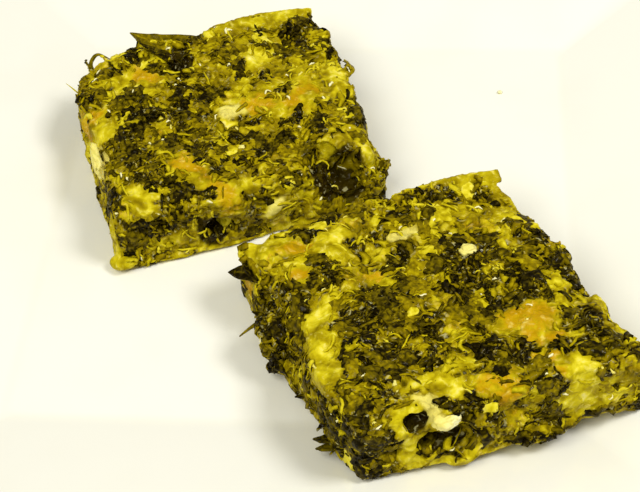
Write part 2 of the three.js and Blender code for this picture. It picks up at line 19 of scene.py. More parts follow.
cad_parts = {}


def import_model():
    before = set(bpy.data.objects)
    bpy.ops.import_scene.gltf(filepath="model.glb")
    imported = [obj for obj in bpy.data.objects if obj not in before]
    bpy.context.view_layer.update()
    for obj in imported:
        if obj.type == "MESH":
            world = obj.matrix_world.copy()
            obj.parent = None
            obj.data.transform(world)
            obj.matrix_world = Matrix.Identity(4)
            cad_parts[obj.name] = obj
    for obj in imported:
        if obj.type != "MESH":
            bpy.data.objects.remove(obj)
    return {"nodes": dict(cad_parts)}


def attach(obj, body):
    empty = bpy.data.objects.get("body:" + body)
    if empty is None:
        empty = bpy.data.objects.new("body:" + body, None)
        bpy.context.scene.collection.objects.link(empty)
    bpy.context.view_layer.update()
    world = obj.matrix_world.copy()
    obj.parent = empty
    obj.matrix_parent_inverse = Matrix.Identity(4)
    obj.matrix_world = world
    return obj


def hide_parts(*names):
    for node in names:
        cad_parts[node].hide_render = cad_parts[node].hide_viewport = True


MM = 0.001
BODY = "root"
WELL_HEIGHT = 7.0
REST_HEIGHT = 0.36

Colour = tuple[float, float, float, float]
log = logging.getLogger("spinach bake")


def tint(red: int, green: int, blue: int) -> Colour:
    """A display colour of 0 to 255 as the linear colour that shaders take.

    Args:
        red: Its red.
        green: Its green.
        blue: Its blue.

    Returns:
        The linear colour with an alpha of 1.
    """
    def linear(value: float) -> float:
        """One channel made linear."""
        return value / 12.92 if value <= 0.04045 else ((value + 0.055) / 1.055) ** 2.4

    return (linear(red / 255), linear(green / 255), linear(blue / 255), 1.0)


def ease(low: float, high: float, value: np.ndarray) -> np.ndarray:
    """A smooth step of an array from 0 at low to 1 at high."""
    share = np.clip((value - low) / (high - low), 0, 1)
    return share * share * (3 - 2 * share)


class Wire:
    """An output of a node, on which Python's operators put more nodes."""

    def __init__(self, board: "Board", socket: bpy.types.NodeSocket) -> None:
        """Wraps one socket of a board's tree."""
        self.board = board
        self.socket = socket

    def maths(self, operation: str, *values: "Wire | float", clamp: bool = False) -> "Wire":
        """A Math node on the given values."""
        settings = {"operation": operation, "use_clamp": clamp}
        return self.board.node("ShaderNodeMath", settings, dict(enumerate(values)))

    def __add__(self, other: "Wire | float") -> "Wire":
        """This plus another."""
        return self.maths("ADD", self, other)

    def __sub__(self, other: "Wire | float") -> "Wire":
        """This less another."""
        return self.maths("SUBTRACT", self, other)

    def __rsub__(self, other: float) -> "Wire":
        """A number less this."""
        return self.maths("SUBTRACT", other, self)

    def __mul__(self, other: "Wire | float") -> "Wire":
        """This times another."""
        return self.maths("MULTIPLY", self, other)

    def __abs__(self) -> "Wire":
        """This without its sign."""
        return self.maths("ABSOLUTE", self)

    __radd__ = __add__
    __rmul__ = __mul__

    def step(self, low: float, high: float) -> "Wire":
        """A smooth step of this from 0 at low to 1 at high."""
        settings = {"interpolation_type": "SMOOTHSTEP"}
        return self.board.node("ShaderNodeMapRange", settings, {"Value": self, 1: low, 2: high})


class Board:
    """The node tree of one material."""

    def __init__(self, name: str) -> None:
        """Starts a material with an empty tree."""
        self.material = bpy.data.materials.new(name)
        self.material.use_nodes = True
        self.tree = self.material.node_tree
        self.tree.nodes.clear()
        self.place = self.node("ShaderNodeTexCoord", output="Object")

    def node(self, kind: str, settings: dict | None = None, inputs: dict | None = None,
             output: int | str = 0) -> Wire:
        """Adds a node.

        Args:
            kind: The node's type.
            settings: Its properties, and "ramp" for the stops of a colour ramp.
            inputs: Values or wires by the socket's name or number.
            output: Which of its outputs is wanted.

        Returns:
            The wanted output.
        """
        made = self.tree.nodes.new(kind)
        for name, value in (settings or {}).items():
            if name == "ramp":
                self.set_stops(made.color_ramp, value)
            else:
                setattr(made, name, value)
        for name, value in (inputs or {}).items():
            if isinstance(value, Wire):
                self.tree.links.new(value.socket, made.inputs[name])
            else:
                made.inputs[name].default_value = value
        return Wire(self, made.outputs[output])

    @staticmethod
    def set_stops(ramp: bpy.types.ColorRamp, stops: list[tuple[float, Colour]]) -> None:
        """Gives a colour ramp its stops."""
        while len(ramp.elements) < len(stops):
            ramp.elements.new(1.0)
        for element, (position, colour) in zip(ramp.elements, stops):
            element.position = position
            element.color = colour

    def speckle(self, size: float, detail: float = 3.0, twist: float = 0.0, place: Wire | None = None) -> Wire:
        """Noise from 0 to 1 with lumps of about that many millimetres."""
        inputs = {"Vector": place or self.place, "Scale": 1 / (size * MM), "Detail": detail, "Distortion": twist}
        return self.node("ShaderNodeTexNoise", None, inputs)

    def warped(self, size: float, reach: float) -> Wire:
        """The place moved about by noise of that size, by up to about half of reach, in millimetres."""
        inputs = {"Vector": self.place, "Scale": 1 / (size * MM), "Detail": 2.0}
        swirl = self.node("ShaderNodeTexNoise", None, inputs, output="Color")
        settings = {"operation": "MULTIPLY_ADD"}
        return self.node("ShaderNodeVectorMath", settings, {0: swirl, 1: (reach * MM,) * 3, 2: self.place})

    def blend(self, first: "Wire | Colour", second: "Wire | Colour", factor: "Wire | float") -> Wire:
        """A colour from the first at 0 to the second at 1."""
        settings = {"data_type": "RGBA", "clamp_factor": True}
        return self.node("ShaderNodeMix", settings, {0: factor, 6: first, 7: second}, output=2)

    def ramp(self, value: Wire, stops: list[tuple[float, Colour]]) -> Wire:
        """A colour picked from stops by a value."""
        return self.node("ShaderNodeValToRGB", {"ramp": stops}, {0: value})

    def own(self, name: str) -> Wire:
        """A value that the mesh carries at its vertices."""
        return self.node("ShaderNodeAttribute", {"attribute_name": name}, output="Fac")

    def bump(self, height: Wire, depth: float, strength: float) -> Wire:
        """A normal bent by a height of up to depth millimetres."""
        inputs = {"Height": height, "Distance": depth * MM, "Strength": strength}
        return self.node("ShaderNodeBump", None, inputs, output="Normal")

    def finish(self, **sockets: "Wire | float | Colour") -> bpy.types.Material:
        """Ends the tree in a Principled shader.

        Args:
            **sockets: The shader's sockets, with _ for a space in a name.

        Returns:
            The material.
        """
        named = {name.replace("_", " "): value for name, value in sockets.items()}
        shader = self.node("ShaderNodeBsdfPrincipled", None, named, output="BSDF")
        ending = self.tree.nodes.new("ShaderNodeOutputMaterial")
        self.tree.links.new(shader.socket, ending.inputs["Surface"])
        return self.material


@dataclass(frozen=True)
class Larder:
    """The colours of what the bake is made of, with the painted shade of its gaps and hollows and the colour of its
    painted glints.
    """

    yellow: Colour = tint(196, 180, 18)
    bright: Colour = tint(224, 210, 50)
    ochre: Colour = tint(161, 143, 5)
    olive: Colour = tint(131, 113, 3)
    browned: Colour = tint(190, 140, 3)
    cheese: Colour = tint(234, 222, 118)
    cream: Colour = tint(246, 240, 184)
    curd: Colour = tint(250, 244, 190)
    leaf: Colour = tint(61, 52, 2)
    fresh: Colour = tint(101, 88, 3)
    wilted: Colour = tint(19, 14, 1)
    # The dark of wet spinach in gaps and hollows, also used there as painted shade.
    wet_hollow_shade: Colour = tint(30, 19, 1)
    # The colour of the painted glints on the dark leafy skin.
    painted_glint: Colour = tint(204, 198, 140)
    shine: Colour = tint(255, 228, 150)

    def tones(self) -> list[tuple[float, Colour]]:
        """The stops from wilted leaf at 0 to cheese at 1."""
        return [
            (0.0, self.wilted), (0.18, self.leaf), (0.34, self.fresh), (0.48, self.olive),
            (0.6, self.ochre), (0.74, self.yellow), (0.85, self.bright), (0.94, self.cheese), (1.0, self.cream)]


LARDER = Larder()


@dataclass(frozen=True)
class CrustFinish:
    """The skin of a square's core: bits of leaf and custard by their tone, with painted shade in the gaps and hollows
    between them, and painted glints and highlights.
    """

    larder: Larder = LARDER

    def dress(self) -> bpy.types.Material:
        """The material."""
        board = Board("spinach_custard")
        larder = self.larder
        place = board.warped(3.2, 1.2)
        coarse = board.speckle(1.7, 2.0, 0.7, place)
        fine = board.speckle(0.85, 1.0, 0.8, place)
        tone = board.own("tone")
        stain = board.speckle(4.4, 2.0, 0.5, place)
        leafy = tone.step(0.62, 0.2)
        # Lace: the leafy skin lighter and darker by the fine noise that also raises the bump, partly the leaf's own
        # mottling, partly a painted highlight on the bump's crests.
        lace = leafy * (fine.step(0.36, 0.64) - 0.4) * 0.55
        calm = board.own("calm")
        shade = tone + (coarse - 0.5) * 0.4 + lace + (stain - 0.5) * (0.4 + calm * 0.5)
        colour = board.ramp(shade, larder.tones())
        toast = (board.own("warm") + (coarse - 0.5) * 1.4 + (fine - 0.5) * 0.8).step(0.25, 1.3)
        colour = board.blend(colour, larder.browned, toast * 0.82)
        milk = (board.own("pale") + (coarse - 0.5) * 0.8 + (fine - 0.5) * 0.5).step(0.1, 1.25)
        colour = board.blend(colour, larder.cheese, milk * 0.85)
        # Painted highlight: pale cheese colour where the noise peaks on the bright custard.
        painted_highlight = (coarse + fine * 0.5).step(0.8, 1.1) * tone.step(0.5, 0.75)
        colour = board.blend(colour, larder.cheese, painted_highlight * 0.6)
        # Painted shade: the gaps between bits and the hollows darken toward near black, partly the dark wet spinach
        # there.
        gaps = (board.own("gap") + (fine - 0.5) * 0.5).step(0.3, 0.95)
        colour = board.blend(colour, larder.wet_hollow_shade, gaps * 0.92)
        colour = board.blend(colour, larder.wet_hollow_shade, board.own("deep").step(0.1, 0.85) * 0.92)
        # Painted highlights: small pale glint spots in the base colour of the dark and hollow skin, standing in for
        # wet gloss.
        glints = board.speckle(1.05, 1.0, 0.8, place).step(0.58, 0.72) * tone.step(0.66, 0.3)
        colour = board.blend(colour, larder.painted_glint, glints * 0.52)
        wet = (1.1 - tone) * board.speckle(1.5, 1.0, 0.4, place).step(0.5, 0.62)
        relief = coarse * 0.6 + fine * 0.4
        return board.finish(
            Base_Color=colour, Roughness=0.5 + (coarse - 0.5) * 0.3, Normal=board.bump(relief, 0.6, 0.8),
            Specular_IOR_Level=0.05, Specular_Tint=larder.shine, Coat_Weight=wet * 0.22, Coat_Roughness=0.12,
            Subsurface_Weight=0.06,
            Subsurface_Radius=(1.0, 0.7, 0.15), Subsurface_Scale=0.8 * MM)


@dataclass(frozen=True)
class StripFinish:
    """Chopped spinach and threads, from near black through olive to custard and cheese by their tone."""

    name: str = "chopped_spinach"
    larder: Larder = LARDER

    def dress(self) -> bpy.types.Material:
        """The material."""
        board = Board(self.name)
        mottle = board.speckle(1.0, 1.0, 0.6)
        tone = board.own("tone")
        colour = board.ramp(tone + (1.1 - tone) * (mottle - 0.48) * 0.9, self.larder.tones())
        wet = (1 - tone) * board.speckle(1.5, 1.0, 0.4).step(0.5, 0.62)
        relief = board.speckle(0.6, 1.0, 0.4)
        return board.finish(
            Base_Color=colour, Roughness=0.36 + mottle * 0.2, Normal=board.bump(relief, 0.14, 0.5),
            Specular_IOR_Level=0.05, Specular_Tint=self.larder.shine, Coat_Weight=wet * 0.18, Coat_Roughness=0.12)


@dataclass(frozen=True)
class CurdFinish:
    """Soft pale cheese with a greasy shine."""

    larder: Larder = LARDER

    def dress(self) -> bpy.types.Material:
        """The material."""
        board = Board("pale_cheese")
        larder = self.larder
        colour = board.blend(larder.cheese, larder.curd, board.own("whiteness"))
        stain = board.speckle(1.4, 3.0, 0.5).step(0.5, 0.72)
        colour = board.blend(colour, larder.yellow, stain * 0.5)
        grain = board.speckle(0.45, 3.0)
        return board.finish(
            Base_Color=colour, Roughness=0.35 + grain * 0.2, Normal=board.bump(grain, 0.2, 0.4),
            Specular_IOR_Level=0.35, Subsurface_Weight=0.2, Subsurface_Radius=(1.0, 0.8, 0.4),
            Subsurface_Scale=1.0 * MM)


@dataclass(frozen=True)
class GlazeFinish:
    """White glazed porcelain, slightly uneven, a little thinner of glaze at its lip."""

    body: Colour = tint(245, 244, 233)
    shade: Colour = tint(238, 236, 220)

    def dress(self) -> bpy.types.Material:
        """The material."""
        board = Board("white_glaze")
        clouds = board.speckle(26.0, 2.0)
        thin = board.own("thin")
        colour = board.blend(self.body, self.shade, thin * 0.6 + clouds.step(0.4, 0.7) * 0.25)
        pull = board.speckle(9.0, 2.0)
        pits = board.speckle(0.9, 2.0).step(0.72, 0.8)
        relief = pull - pits * 0.12
        return board.finish(
            Base_Color=colour, Roughness=0.16 + clouds * 0.08, Normal=board.bump(relief, 0.3, 0.12),
            Specular_IOR_Level=0.45, Coat_Weight=0.5, Coat_Roughness=0.06)


@dataclass(frozen=True)
class FloorFinish:
    """A plain pale floor."""

    colour: Colour = tint(240, 239, 233)

    def dress(self) -> bpy.types.Material:
        """The material."""
        board = Board("pale_floor")
        grain = board.speckle(60.0, 2.0)
        colour = board.blend(self.colour, tint(236, 235, 229), grain)
        return board.finish(Base_Color=colour, Roughness=0.7)


def placed_piece(name: str, shape: bmesh.types.BMesh | bpy.types.Mesh, finish: bpy.types.Material,
                 stands_for: str | None = None) -> bpy.types.Object:
    """Makes a finished piece of a mesh and enters it in the frame.

    Args:
        name: The piece's name.
        shape: Its mesh, in metres where it lies.
        finish: Its material.
        stands_for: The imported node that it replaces, if any.

    Returns:
        The piece's object.
    """
    if isinstance(shape, bmesh.types.BMesh):
        mesh = bpy.data.meshes.new(name)
        shape.to_mesh(mesh)
        shape.free()
    else:
        mesh = shape
        mesh.name = name
    mesh.shade_smooth()
    mesh.materials.clear()
    mesh.materials.append(finish)
    piece = bpy.data.objects.new(name, mesh)
    bpy.context.scene.collection.objects.link(piece)
    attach(piece, BODY)
    if stands_for:
        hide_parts(stands_for)
    log.info("%s: %d vertices, %d faces", name, len(mesh.vertices), len(mesh.polygons))
    return piece


def carry(mesh: bpy.types.Mesh, name: str, values: np.ndarray) -> None:
    """Stores a value for each of a mesh's vertices."""
    layer = mesh.attributes.new(name, "FLOAT", "POINT")
    layer.data.foreach_set("value", np.asarray(values, np.float32))


def evened(mesh: bpy.types.Mesh, values: np.ndarray) -> np.ndarray:
    """Values at a mesh's vertices, each mixed with those of its neighbours."""
    ends = np.zeros(len(mesh.edges) * 2, np.int32)
    mesh.edges.foreach_get("vertices", ends)
    first, second = ends.reshape(-1, 2).T
    size = len(values)
    total = np.bincount(first, values[second], size) + np.bincount(second, values[first], size)
    count = np.bincount(first, minlength=size) + np.bincount(second, minlength=size)
    return (values + total / np.maximum(count, 1)) / 2


@dataclass
class Plate:
    """The square plate: a flat well, four flat rims that meet in mitred creases, and a foot ring.

    Lengths are in millimetres.
    """

    well_side: float = 114.0
    rim_width: float = 31.0
    rim_angle: float = math.radians(15)
    thickness: float = 4.5
    foot_outer_side: float = 98.0
    foot_width: float = 3.5
    foot_height: float = 2.5
    foot_taper: float = 0.8
    well_corner: float = 1.5
    outer_corner: float = 5.0
    crease: float = 1.6
    corner_segments: int = 10
    lip_segments: int = 14
    crease_loops: int = 5

    def section(self) -> list[tuple[float, float, float, float]]:
        """The loops from the well out over the lip and back under, after the first.

        Returns:
            Half a side, the corner's radius, the height and how thin the glaze is, for each loop.
        """
        half = self.well_side / 2
        slope = math.tan(self.rim_angle)
        rim_half = half + self.rim_width
        lip = self.thickness / 2
        lip_centre = rim_half - lip
        lip_height = WELL_HEIGHT + slope * (lip_centre - half) - lip / math.cos(self.rim_angle)
        loops = []
        for step in range(self.crease_loops + 1):
            share = step / self.crease_loops
            out = self.crease * (2 * share - 1)
            rise = slope * self.crease * share * share
            loops.append((half + out, self.well_corner, WELL_HEIGHT + rise, 0.5 * (1 - abs(2 * share - 1))))
        for step in range(1, 5):
            share = step / 5
            out = self.crease + (lip_centre - half - self.crease) * share
            corner = self.well_corner + (self.outer_corner - self.well_corner) * share
            loops.append((half + out, corner, WELL_HEIGHT + slope * out, 0.0))
        for step in range(self.lip_segments + 1):
            angle = self.rim_angle + math.pi * (0.5 - step / self.lip_segments)
            thin = 1 - abs(2 * step / self.lip_segments - 1)
            reach = lip_centre + lip * math.cos(angle)
            loops.append((reach, self.outer_corner, lip_height + lip * math.sin(angle), thin))
        under = half + self.thickness * math.tan(self.rim_angle / 2)
        foot_out = self.foot_outer_side / 2
        foot_in = foot_out - self.foot_width
        soft = 0.5
        return loops + [
            (under + soft, self.well_corner, self.foot_height + slope * soft, 0.0),
            (under - soft, self.well_corner, self.foot_height, 0.0),
            (foot_out + self.foot_taper, self.well_corner, self.foot_height, 0.3),
            (foot_out + 0.1, self.well_corner, 0.3, 0.8),
            (foot_out - 0.2, self.well_corner, 0.0, 1.0),
            (foot_in + 0.2, self.well_corner, 0.0, 1.0),
            (foot_in - 0.1, self.well_corner, 0.3, 0.8),
            (foot_in - self.foot_taper, self.well_corner, self.foot_height, 0.3),
        ]

    def grow(self, shape: bmesh.types.BMesh, edges: list[bmesh.types.BMEdge], now: tuple[float, float],
             then: tuple[float, float, float]) -> list[bmesh.types.BMEdge]:
        """Extrudes a loop of edges to the next loop of the section.

        Args:
            shape: The plate's bmesh.
            edges: The open edges.
            now: Half a side and the corner's radius of the loop as it is.
            then: Half a side, the corner's radius and the height of the next loop.

        Returns:
            The new open edges.
        """
        grown = bmesh.ops.extrude_edge_only(shape, edges=edges)["geom"]
        for vert in (item for item in grown if isinstance(item, bmesh.types.BMVert)):
            for axis in (0, 1):
                centre = math.copysign(now[0] - now[1], vert.co[axis])
                offset = (vert.co[axis] - centre) / now[1]
                if abs(vert.co[axis]) < now[0] - now[1] - 1e-6:
                    offset = 0.0
                vert.co[axis] = math.copysign(then[0] - then[1], vert.co[axis]) + offset * then[1]
            vert.co.z = then[2]
        return [item for item in grown if isinstance(item, bmesh.types.BMEdge)]

    def build(self) -> bpy.types.Object:
        """Builds the plate.

        Returns:
            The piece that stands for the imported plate.
        """
        shape = bmesh.new()
        start = self.well_side / 2 - self.crease - 2
        bmesh.ops.create_grid(shape, x_segments=1, y_segments=1, size=start,
                              matrix=Matrix.Translation((0, 0, WELL_HEIGHT)))
        bmesh.ops.bevel(shape, geom=list(shape.verts), offset=self.well_corner, offset_type="OFFSET",
                        affect="VERTICES", segments=self.corner_segments, profile=0.5, material=-1)
        thin = shape.verts.layers.float.new("thin")
        edges = [edge for edge in shape.edges if edge.is_boundary]
        now = (start, self.well_corner)
        for half, corner, height, thinness in self.section():
            edges = self.grow(shape, edges, now, (half, corner, height))
            for vert in {vert for edge in edges for vert in edge.verts}:
                vert[thin] = thinness
            now = (half, corner)
        bmesh.ops.holes_fill(shape, edges=edges, sides=0)
        bmesh.ops.scale(shape, vec=(MM, MM, MM), verts=shape.verts)
        bmesh.ops.recalc_face_normals(shape, faces=shape.faces)
        piece = placed_piece("glazed_plate", shape, GlazeFinish().dress(), "plate")
        piece.modifiers.new("even shading", "WEIGHTED_NORMAL").keep_sharp = False
        return piece


class Kind(Enum):
    """What a patch of the bake is made of."""

    LEAF = "wilted leaf"
    GREEN = "green leaf"
    OLIVE = "olive custard"
    YELLOW = "smooth custard"
    ORANGE = "browned custard"
    PALE = "pale cheese"
    # Hollow shade: carves a hollow and paints it near black, partly the dark wet spinach in it, partly painted shade;
    # one such patch is a painted shadow at a foot.
    HOLLOW_SHADE = "wet hollow"


class Side(Enum):
    """A face of a square."""

    TOP = "top"
    FRONT = "front"
    LEFT = "left"


QUALITIES = ("leafy", "calm", "warm", "pale", "deep")
MIXES = {
    Kind.LEAF: (0.92, 0.0, 0.0, 0.0, 0.0),
    Kind.GREEN: (0.6, 0.5, 0.0, 0.0, 0.0),
    Kind.OLIVE: (0.44, 0.3, 0.0, 0.0, 0.0),
    Kind.YELLOW: (-0.3, 1.0, 0.1, 0.0, 0.0),
    Kind.ORANGE: (-0.1, 0.7, 1.0, 0.0, 0.0),
    Kind.PALE: (-0.2, 0.5, 0.0, 1.0, 0.0),
    Kind.HOLLOW_SHADE: (0.5, 0.0, 0.0, 0.0, 1.0),
}


@dataclass(frozen=True)
class Patch:
    """A patch of one kind on a face of a square.

    On the top, at is across and to the back from the square's middle, and on a cut side it is along the
    side and up from its foot. Reach is half its length and half its breadth, turned by turn degrees.
    """

    kind: Kind
    at: tuple[float, float]
    reach: tuple[float, float]
    turn: float = 0.0
    side: Side = Side.TOP


@dataclass(frozen=True)
class Leaf:
    """A leaf that lies on a square or stands out of it, in the square's own millimetres."""

    spine: tuple[tuple[float, float, float], ...]
    width: float
    tilt: float
    tone: float = 0.16
    ripple: float = 0.5


@dataclass(frozen=True)
class Curd:
    """A lump of cheese: its place across, back and up in the square, its half sizes and how white it is."""

    at: tuple[float, float, float]
    reach: tuple[float, float, float]
    whiteness: float = 0.4


@dataclass(frozen=True)
class Bulge:
    """A wad of the mix that swells out of a square: its place across, back and up in it, and its half sizes."""

    at: tuple[float, float, float]
    reach: tuple[float, float, float]


@dataclass(frozen=True)
class StripSort:
    """One sort of chopped strip or thread.

    Lengths are in millimetres. Shift says how much paler it is than what it lies on, and spread how much
    one differs from the next. Leafy is 1 where it keeps to leafy places and -1 where it keeps out of them.
    """

    name: str
    count: int
    length: tuple[float, float]
    width: tuple[float, float]
    thickness: float
    arch: tuple[float, float]
    curl: float
    shift: float
    spread: float
    leafy: float
    roll: float = 0.5
    palest: float = 0.82


STRIP_SORTS = (
    StripSort("shreds", 760, (2.0, 4.8), (0.8, 1.9), 0.24, (0.0, 0.36), 0.7, -0.02, 0.12, 0.8, 0.3),
    StripSort("threads", 850, (2.0, 5.6), (0.45, 0.9), 0.36, (-0.14, 0.14), 0.7, 0.05, 0.14, 0.8, 0.2, 0.76),
    StripSort("strings", 110, (2.4, 5.6), (0.5, 0.9), 0.3, (-0.16, 0.06), 0.9, -0.14, 0.12, -0.5, 0.25, 0.7),
    # Flecks: pale specks and strands of cheese and stem, partly painted highlights.
    StripSort("flecks", 230, (0.8, 2.2), (0.4, 0.7), 0.36, (0.0, 0.25), 0.5, 0.38, 0.18, 0.6, 0.3, 1.0),
)


@dataclass(frozen=True)
class ScrapSort:
    """The crumpled scraps of leaf. Lengths are in millimetres. Fold shading is how much lighter each scrap is painted
    on its folds and darker in its creases: painted light and shade.
    """

    name: str = "scraps"
    count: int = 190
    length: tuple[float, float] = (2.6, 6.4)
    width: tuple[float, float] = (2.0, 4.0)
    thickness: float = 0.24
    crumple: float = 0.62
    fold_size: float = 1.15
    shift: float = 0.0
    spread: float = 0.1
    palest: float = 0.82
    contrast: float = 0.34


class StripShape:
    """A closed strip of four sides and several lengths, made once and laid many times."""

    rings = 6

    def __init__(self) -> None:
        """Makes the strip with bmesh operators and keeps it as arrays."""
        shape = bmesh.new()
        bmesh.ops.create_cone(shape, cap_ends=True, segments=4, radius1=1, radius2=1, depth=1)
        long_edges = [e for e in shape.edges if abs(e.verts[0].co.z - e.verts[1].co.z) > 0.5]
        bmesh.ops.subdivide_edges(shape, edges=long_edges, cuts=self.rings - 2, use_grid_fill=True)
        shape.verts.index_update()
        places = np.array([vert.co for vert in shape.verts])
        self.ring = np.rint((places[:, 2] + 0.5) * (self.rings - 1)).astype(int)
        self.across = places[:, 0]
        self.up = places[:, 1]
        self.faces = [[vert.index for vert in face.verts] for face in shape.faces]
        shape.free()


class ScrapShape:
    """A thin closed sheet of small faces, made once and laid many times."""

    columns = 9
    rows = 7

    def __init__(self) -> None:
        """Makes the sheet with bmesh operators and keeps it as arrays."""
        shape = bmesh.new()
        bmesh.ops.create_grid(shape, x_segments=self.columns - 1, y_segments=self.rows - 1, size=1)
        bmesh.ops.solidify(shape, geom=list(shape.faces), thickness=1)
        shape.verts.index_update()
        places = np.array([vert.co for vert in shape.verts])
        column = np.rint((places[:, 0] + 1) / 2 * (self.columns - 1)).astype(int)
        row = np.rint((places[:, 1] + 1) / 2 * (self.rows - 1)).astype(int)
        self.knot = row * self.columns + column
        self.up = places[:, 2] - places[:, 2].mean()
        self.faces = [[vert.index for vert in face.verts] for face in shape.faces]
        shape.free()

    def knots(self) -> list[tuple[float, float]]:
        """The sheet's grid of places from -1 to 1 along and across, row by row."""
        steps = [2 * i / (self.columns - 1) - 1 for i in range(self.columns)]
        return [(along, 2 * j / (self.rows - 1) - 1) for j in range(self.rows) for along in steps]


def joined_mesh(name: str, places: list[np.ndarray], faces: list[list[int]]) -> bpy.types.Mesh:
    """Joins many copies of one shape into a mesh.

    Args:
        name: The mesh's name.
        places: The vertices of each copy.
        faces: The faces of the shape.

    Returns:
        The mesh.
    """
    count = len(places[0])
    sizes = np.array([len(face) for face in faces])
    corners = np.concatenate([np.array(face) for face in faces])
    copies = np.arange(len(places))
    loops = (corners[None, :] + copies[:, None] * count).ravel()
    totals = np.tile(sizes, len(places))
    starts = np.concatenate([[0], np.cumsum(totals)[:-1]])
    mesh = bpy.data.meshes.new(name)
    mesh.vertices.add(count * len(places))
    mesh.vertices.foreach_set("co", np.concatenate(places).astype(np.float32).ravel())
    mesh.loops.add(len(loops))
    mesh.loops.foreach_set("vertex_index", loops.astype(np.int32))
    mesh.polygons.add(len(totals))
    mesh.polygons.foreach_set("loop_start", starts.astype(np.int32))
    mesh.update(calc_edges=True)
    mesh.validate()
    return mesh


@dataclass
class Square:
    """A square of the bake: its place on the plate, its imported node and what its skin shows.

    Lengths are in millimetres, and a place on the square is across, back and up from the middle of its foot.
    """

    name: str
    node: str
    middle: tuple[float, float]
    turn: float
    size: tuple[float, float]
    near_rise: tuple[float, float]
    block: tuple[tuple[float, float, float], tuple[float, float, float]]
    seed: int
    patches: tuple[Patch, ...]
    leaves: tuple[Leaf, ...] = ()
    curds: tuple[Curd, ...] = ()
    bulges: tuple[Bulge, ...] = ()
    leafiness: float = 0.42
    voxel: float = 0.376
    sag: float = 1.6
    bit_size: tuple[float, float, float] = (4.6, 1.3, 1.4)
    skin: BVHTree | None = field(default=None, repr=False)

    def lift(self, across: np.ndarray, back: np.ndarray) -> np.ndarray:
        """How far the square is lifted there, as it bridges from the well to the rims."""
        u = np.clip(across / self.size[0] + 0.5, 0, 1)
        v = np.clip(back / self.size[1] + 0.5, 0, 1)
        near = self.near_rise[0] * (1 - u) + self.near_rise[1] * u
        return near * (1 - v) ** self.sag

    def own_places(self, places: np.ndarray) -> np.ndarray:
        """Places in the model's metres as places on the square, as if it lay flat."""
        cos, sin = math.cos(self.turn), math.sin(self.turn)
        x = places[:, 0] / MM - self.middle[0]
        y = places[:, 1] / MM - self.middle[1]
        across = x * cos + y * sin
        back = y * cos - x * sin
        up = places[:, 2] / MM - WELL_HEIGHT - REST_HEIGHT - self.lift(across, back)
        return np.stack([across, back, up], axis=1)

    def in_model(self, place: tuple[float, float, float] | Vector) -> Vector:
        """A place on the square as a place in the model, in metres."""
        across, back, up = place
        cos, sin = math.cos(self.turn), math.sin(self.turn)
        x = self.middle[0] + across * cos - back * sin
        y = self.middle[1] + across * sin + back * cos
        lift = float(self.lift(np.array(across), np.array(back)))
        return Vector((x, y, WELL_HEIGHT + REST_HEIGHT + lift + up)) * MM

    def core(self) -> bmesh.types.BMesh:
        """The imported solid's shape as an even, smoothed skin, less the leaves, which are pieces of their own."""
        source = bmesh.new()
        source.from_mesh(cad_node(self.node).data)
        bmesh.ops.remove_doubles(source, verts=source.verts, dist=0.001 * MM)
        places = self.own_places(np.array([vert.co for vert in source.verts]))
        tucked = np.clip(places, self.block[0], self.block[1])
        for vert, place in zip(source.verts, tucked):
            vert.co = self.in_model(place)
        for bulge in self.bulges:
            for vert in bmesh.ops.create_icosphere(source, subdivisions=3, radius=1)["verts"]:
                vert.co = self.in_model(np.array(bulge.at) + np.array(vert.co) * np.array(bulge.reach))
        rough = bpy.data.meshes.new("rough core")
        source.to_mesh(rough)
        source.free()
        carrier = bpy.data.objects.new("rough core", rough)
        bpy.context.scene.collection.objects.link(carrier)
        remesh = carrier.modifiers.new("even skin", "REMESH")
        remesh.mode = "VOXEL"
        remesh.voxel_size = self.voxel * MM
        evaluated = carrier.evaluated_get(bpy.context.evaluated_depsgraph_get())
        shape = bmesh.new()
        shape.from_mesh(evaluated.to_mesh())
        evaluated.to_mesh_clear()
        bpy.data.objects.remove(carrier)
        bpy.data.meshes.remove(rough)
        for _ in range(2):
            bmesh.ops.smooth_vert(shape, verts=shape.verts, factor=0.5,
                                  use_axis_x=True, use_axis_y=True, use_axis_z=True)
        return shape

    def qualities(self, own: np.ndarray) -> dict[str, np.ndarray]:
        """What the skin is made of at each place, from broad noise and the named patches."""
        seed = Vector((self.seed * 1.7, 4.1, 9.3))
        broad = np.array([noise.noise(Vector(place) / 6.0 + seed) for place in own])
        stir = np.array([noise.noise_vector(Vector(place) / 2.4 + seed) for place in own])
        ragged = own + stir * 1.5
        found = {name: np.zeros(len(own)) for name in QUALITIES}
        found["leafy"] = self.leafiness + 0.75 * broad
        found["warm"] = ease(0.15, 0.5, -broad) * 0.5
        for patch in self.patches:
            share = self.share_of(patch, ragged, own)
            for name, value in zip(QUALITIES, MIXES[patch.kind]):
                found[name] += (value - found[name]) * share
        found["calm"] = np.maximum(found["calm"], 0.5 - 0.5 * ease(-0.25, 0.2, found["leafy"]))
        return found

    def share_of(self, patch: Patch, ragged: np.ndarray, own: np.ndarray) -> np.ndarray:
        """How far each place lies in a patch, from 0 to 1."""
        across, back, up = ragged.T
        if patch.side is Side.TOP:
            first, second = across, back
            near = ease(8.5, 12.5, own[:, 2])
        elif patch.side is Side.FRONT:
            first, second = across, up
            near = 1 - ease(4, 8, own[:, 1] + self.size[1] / 2)
        else:
            first, second = back, up
            near = 1 - ease(4, 8, own[:, 0] + self.size[0] / 2)
        turn = math.radians(patch.turn)
        along = (first - patch.at[0]) * math.cos(turn) + (second - patch.at[1]) * math.sin(turn)
        aside = (second - patch.at[1]) * math.cos(turn) - (first - patch.at[0]) * math.sin(turn)
        distance = np.hypot(along / patch.reach[0], aside / patch.reach[1])
        return near * (1 - ease(0.55, 1.2, distance))

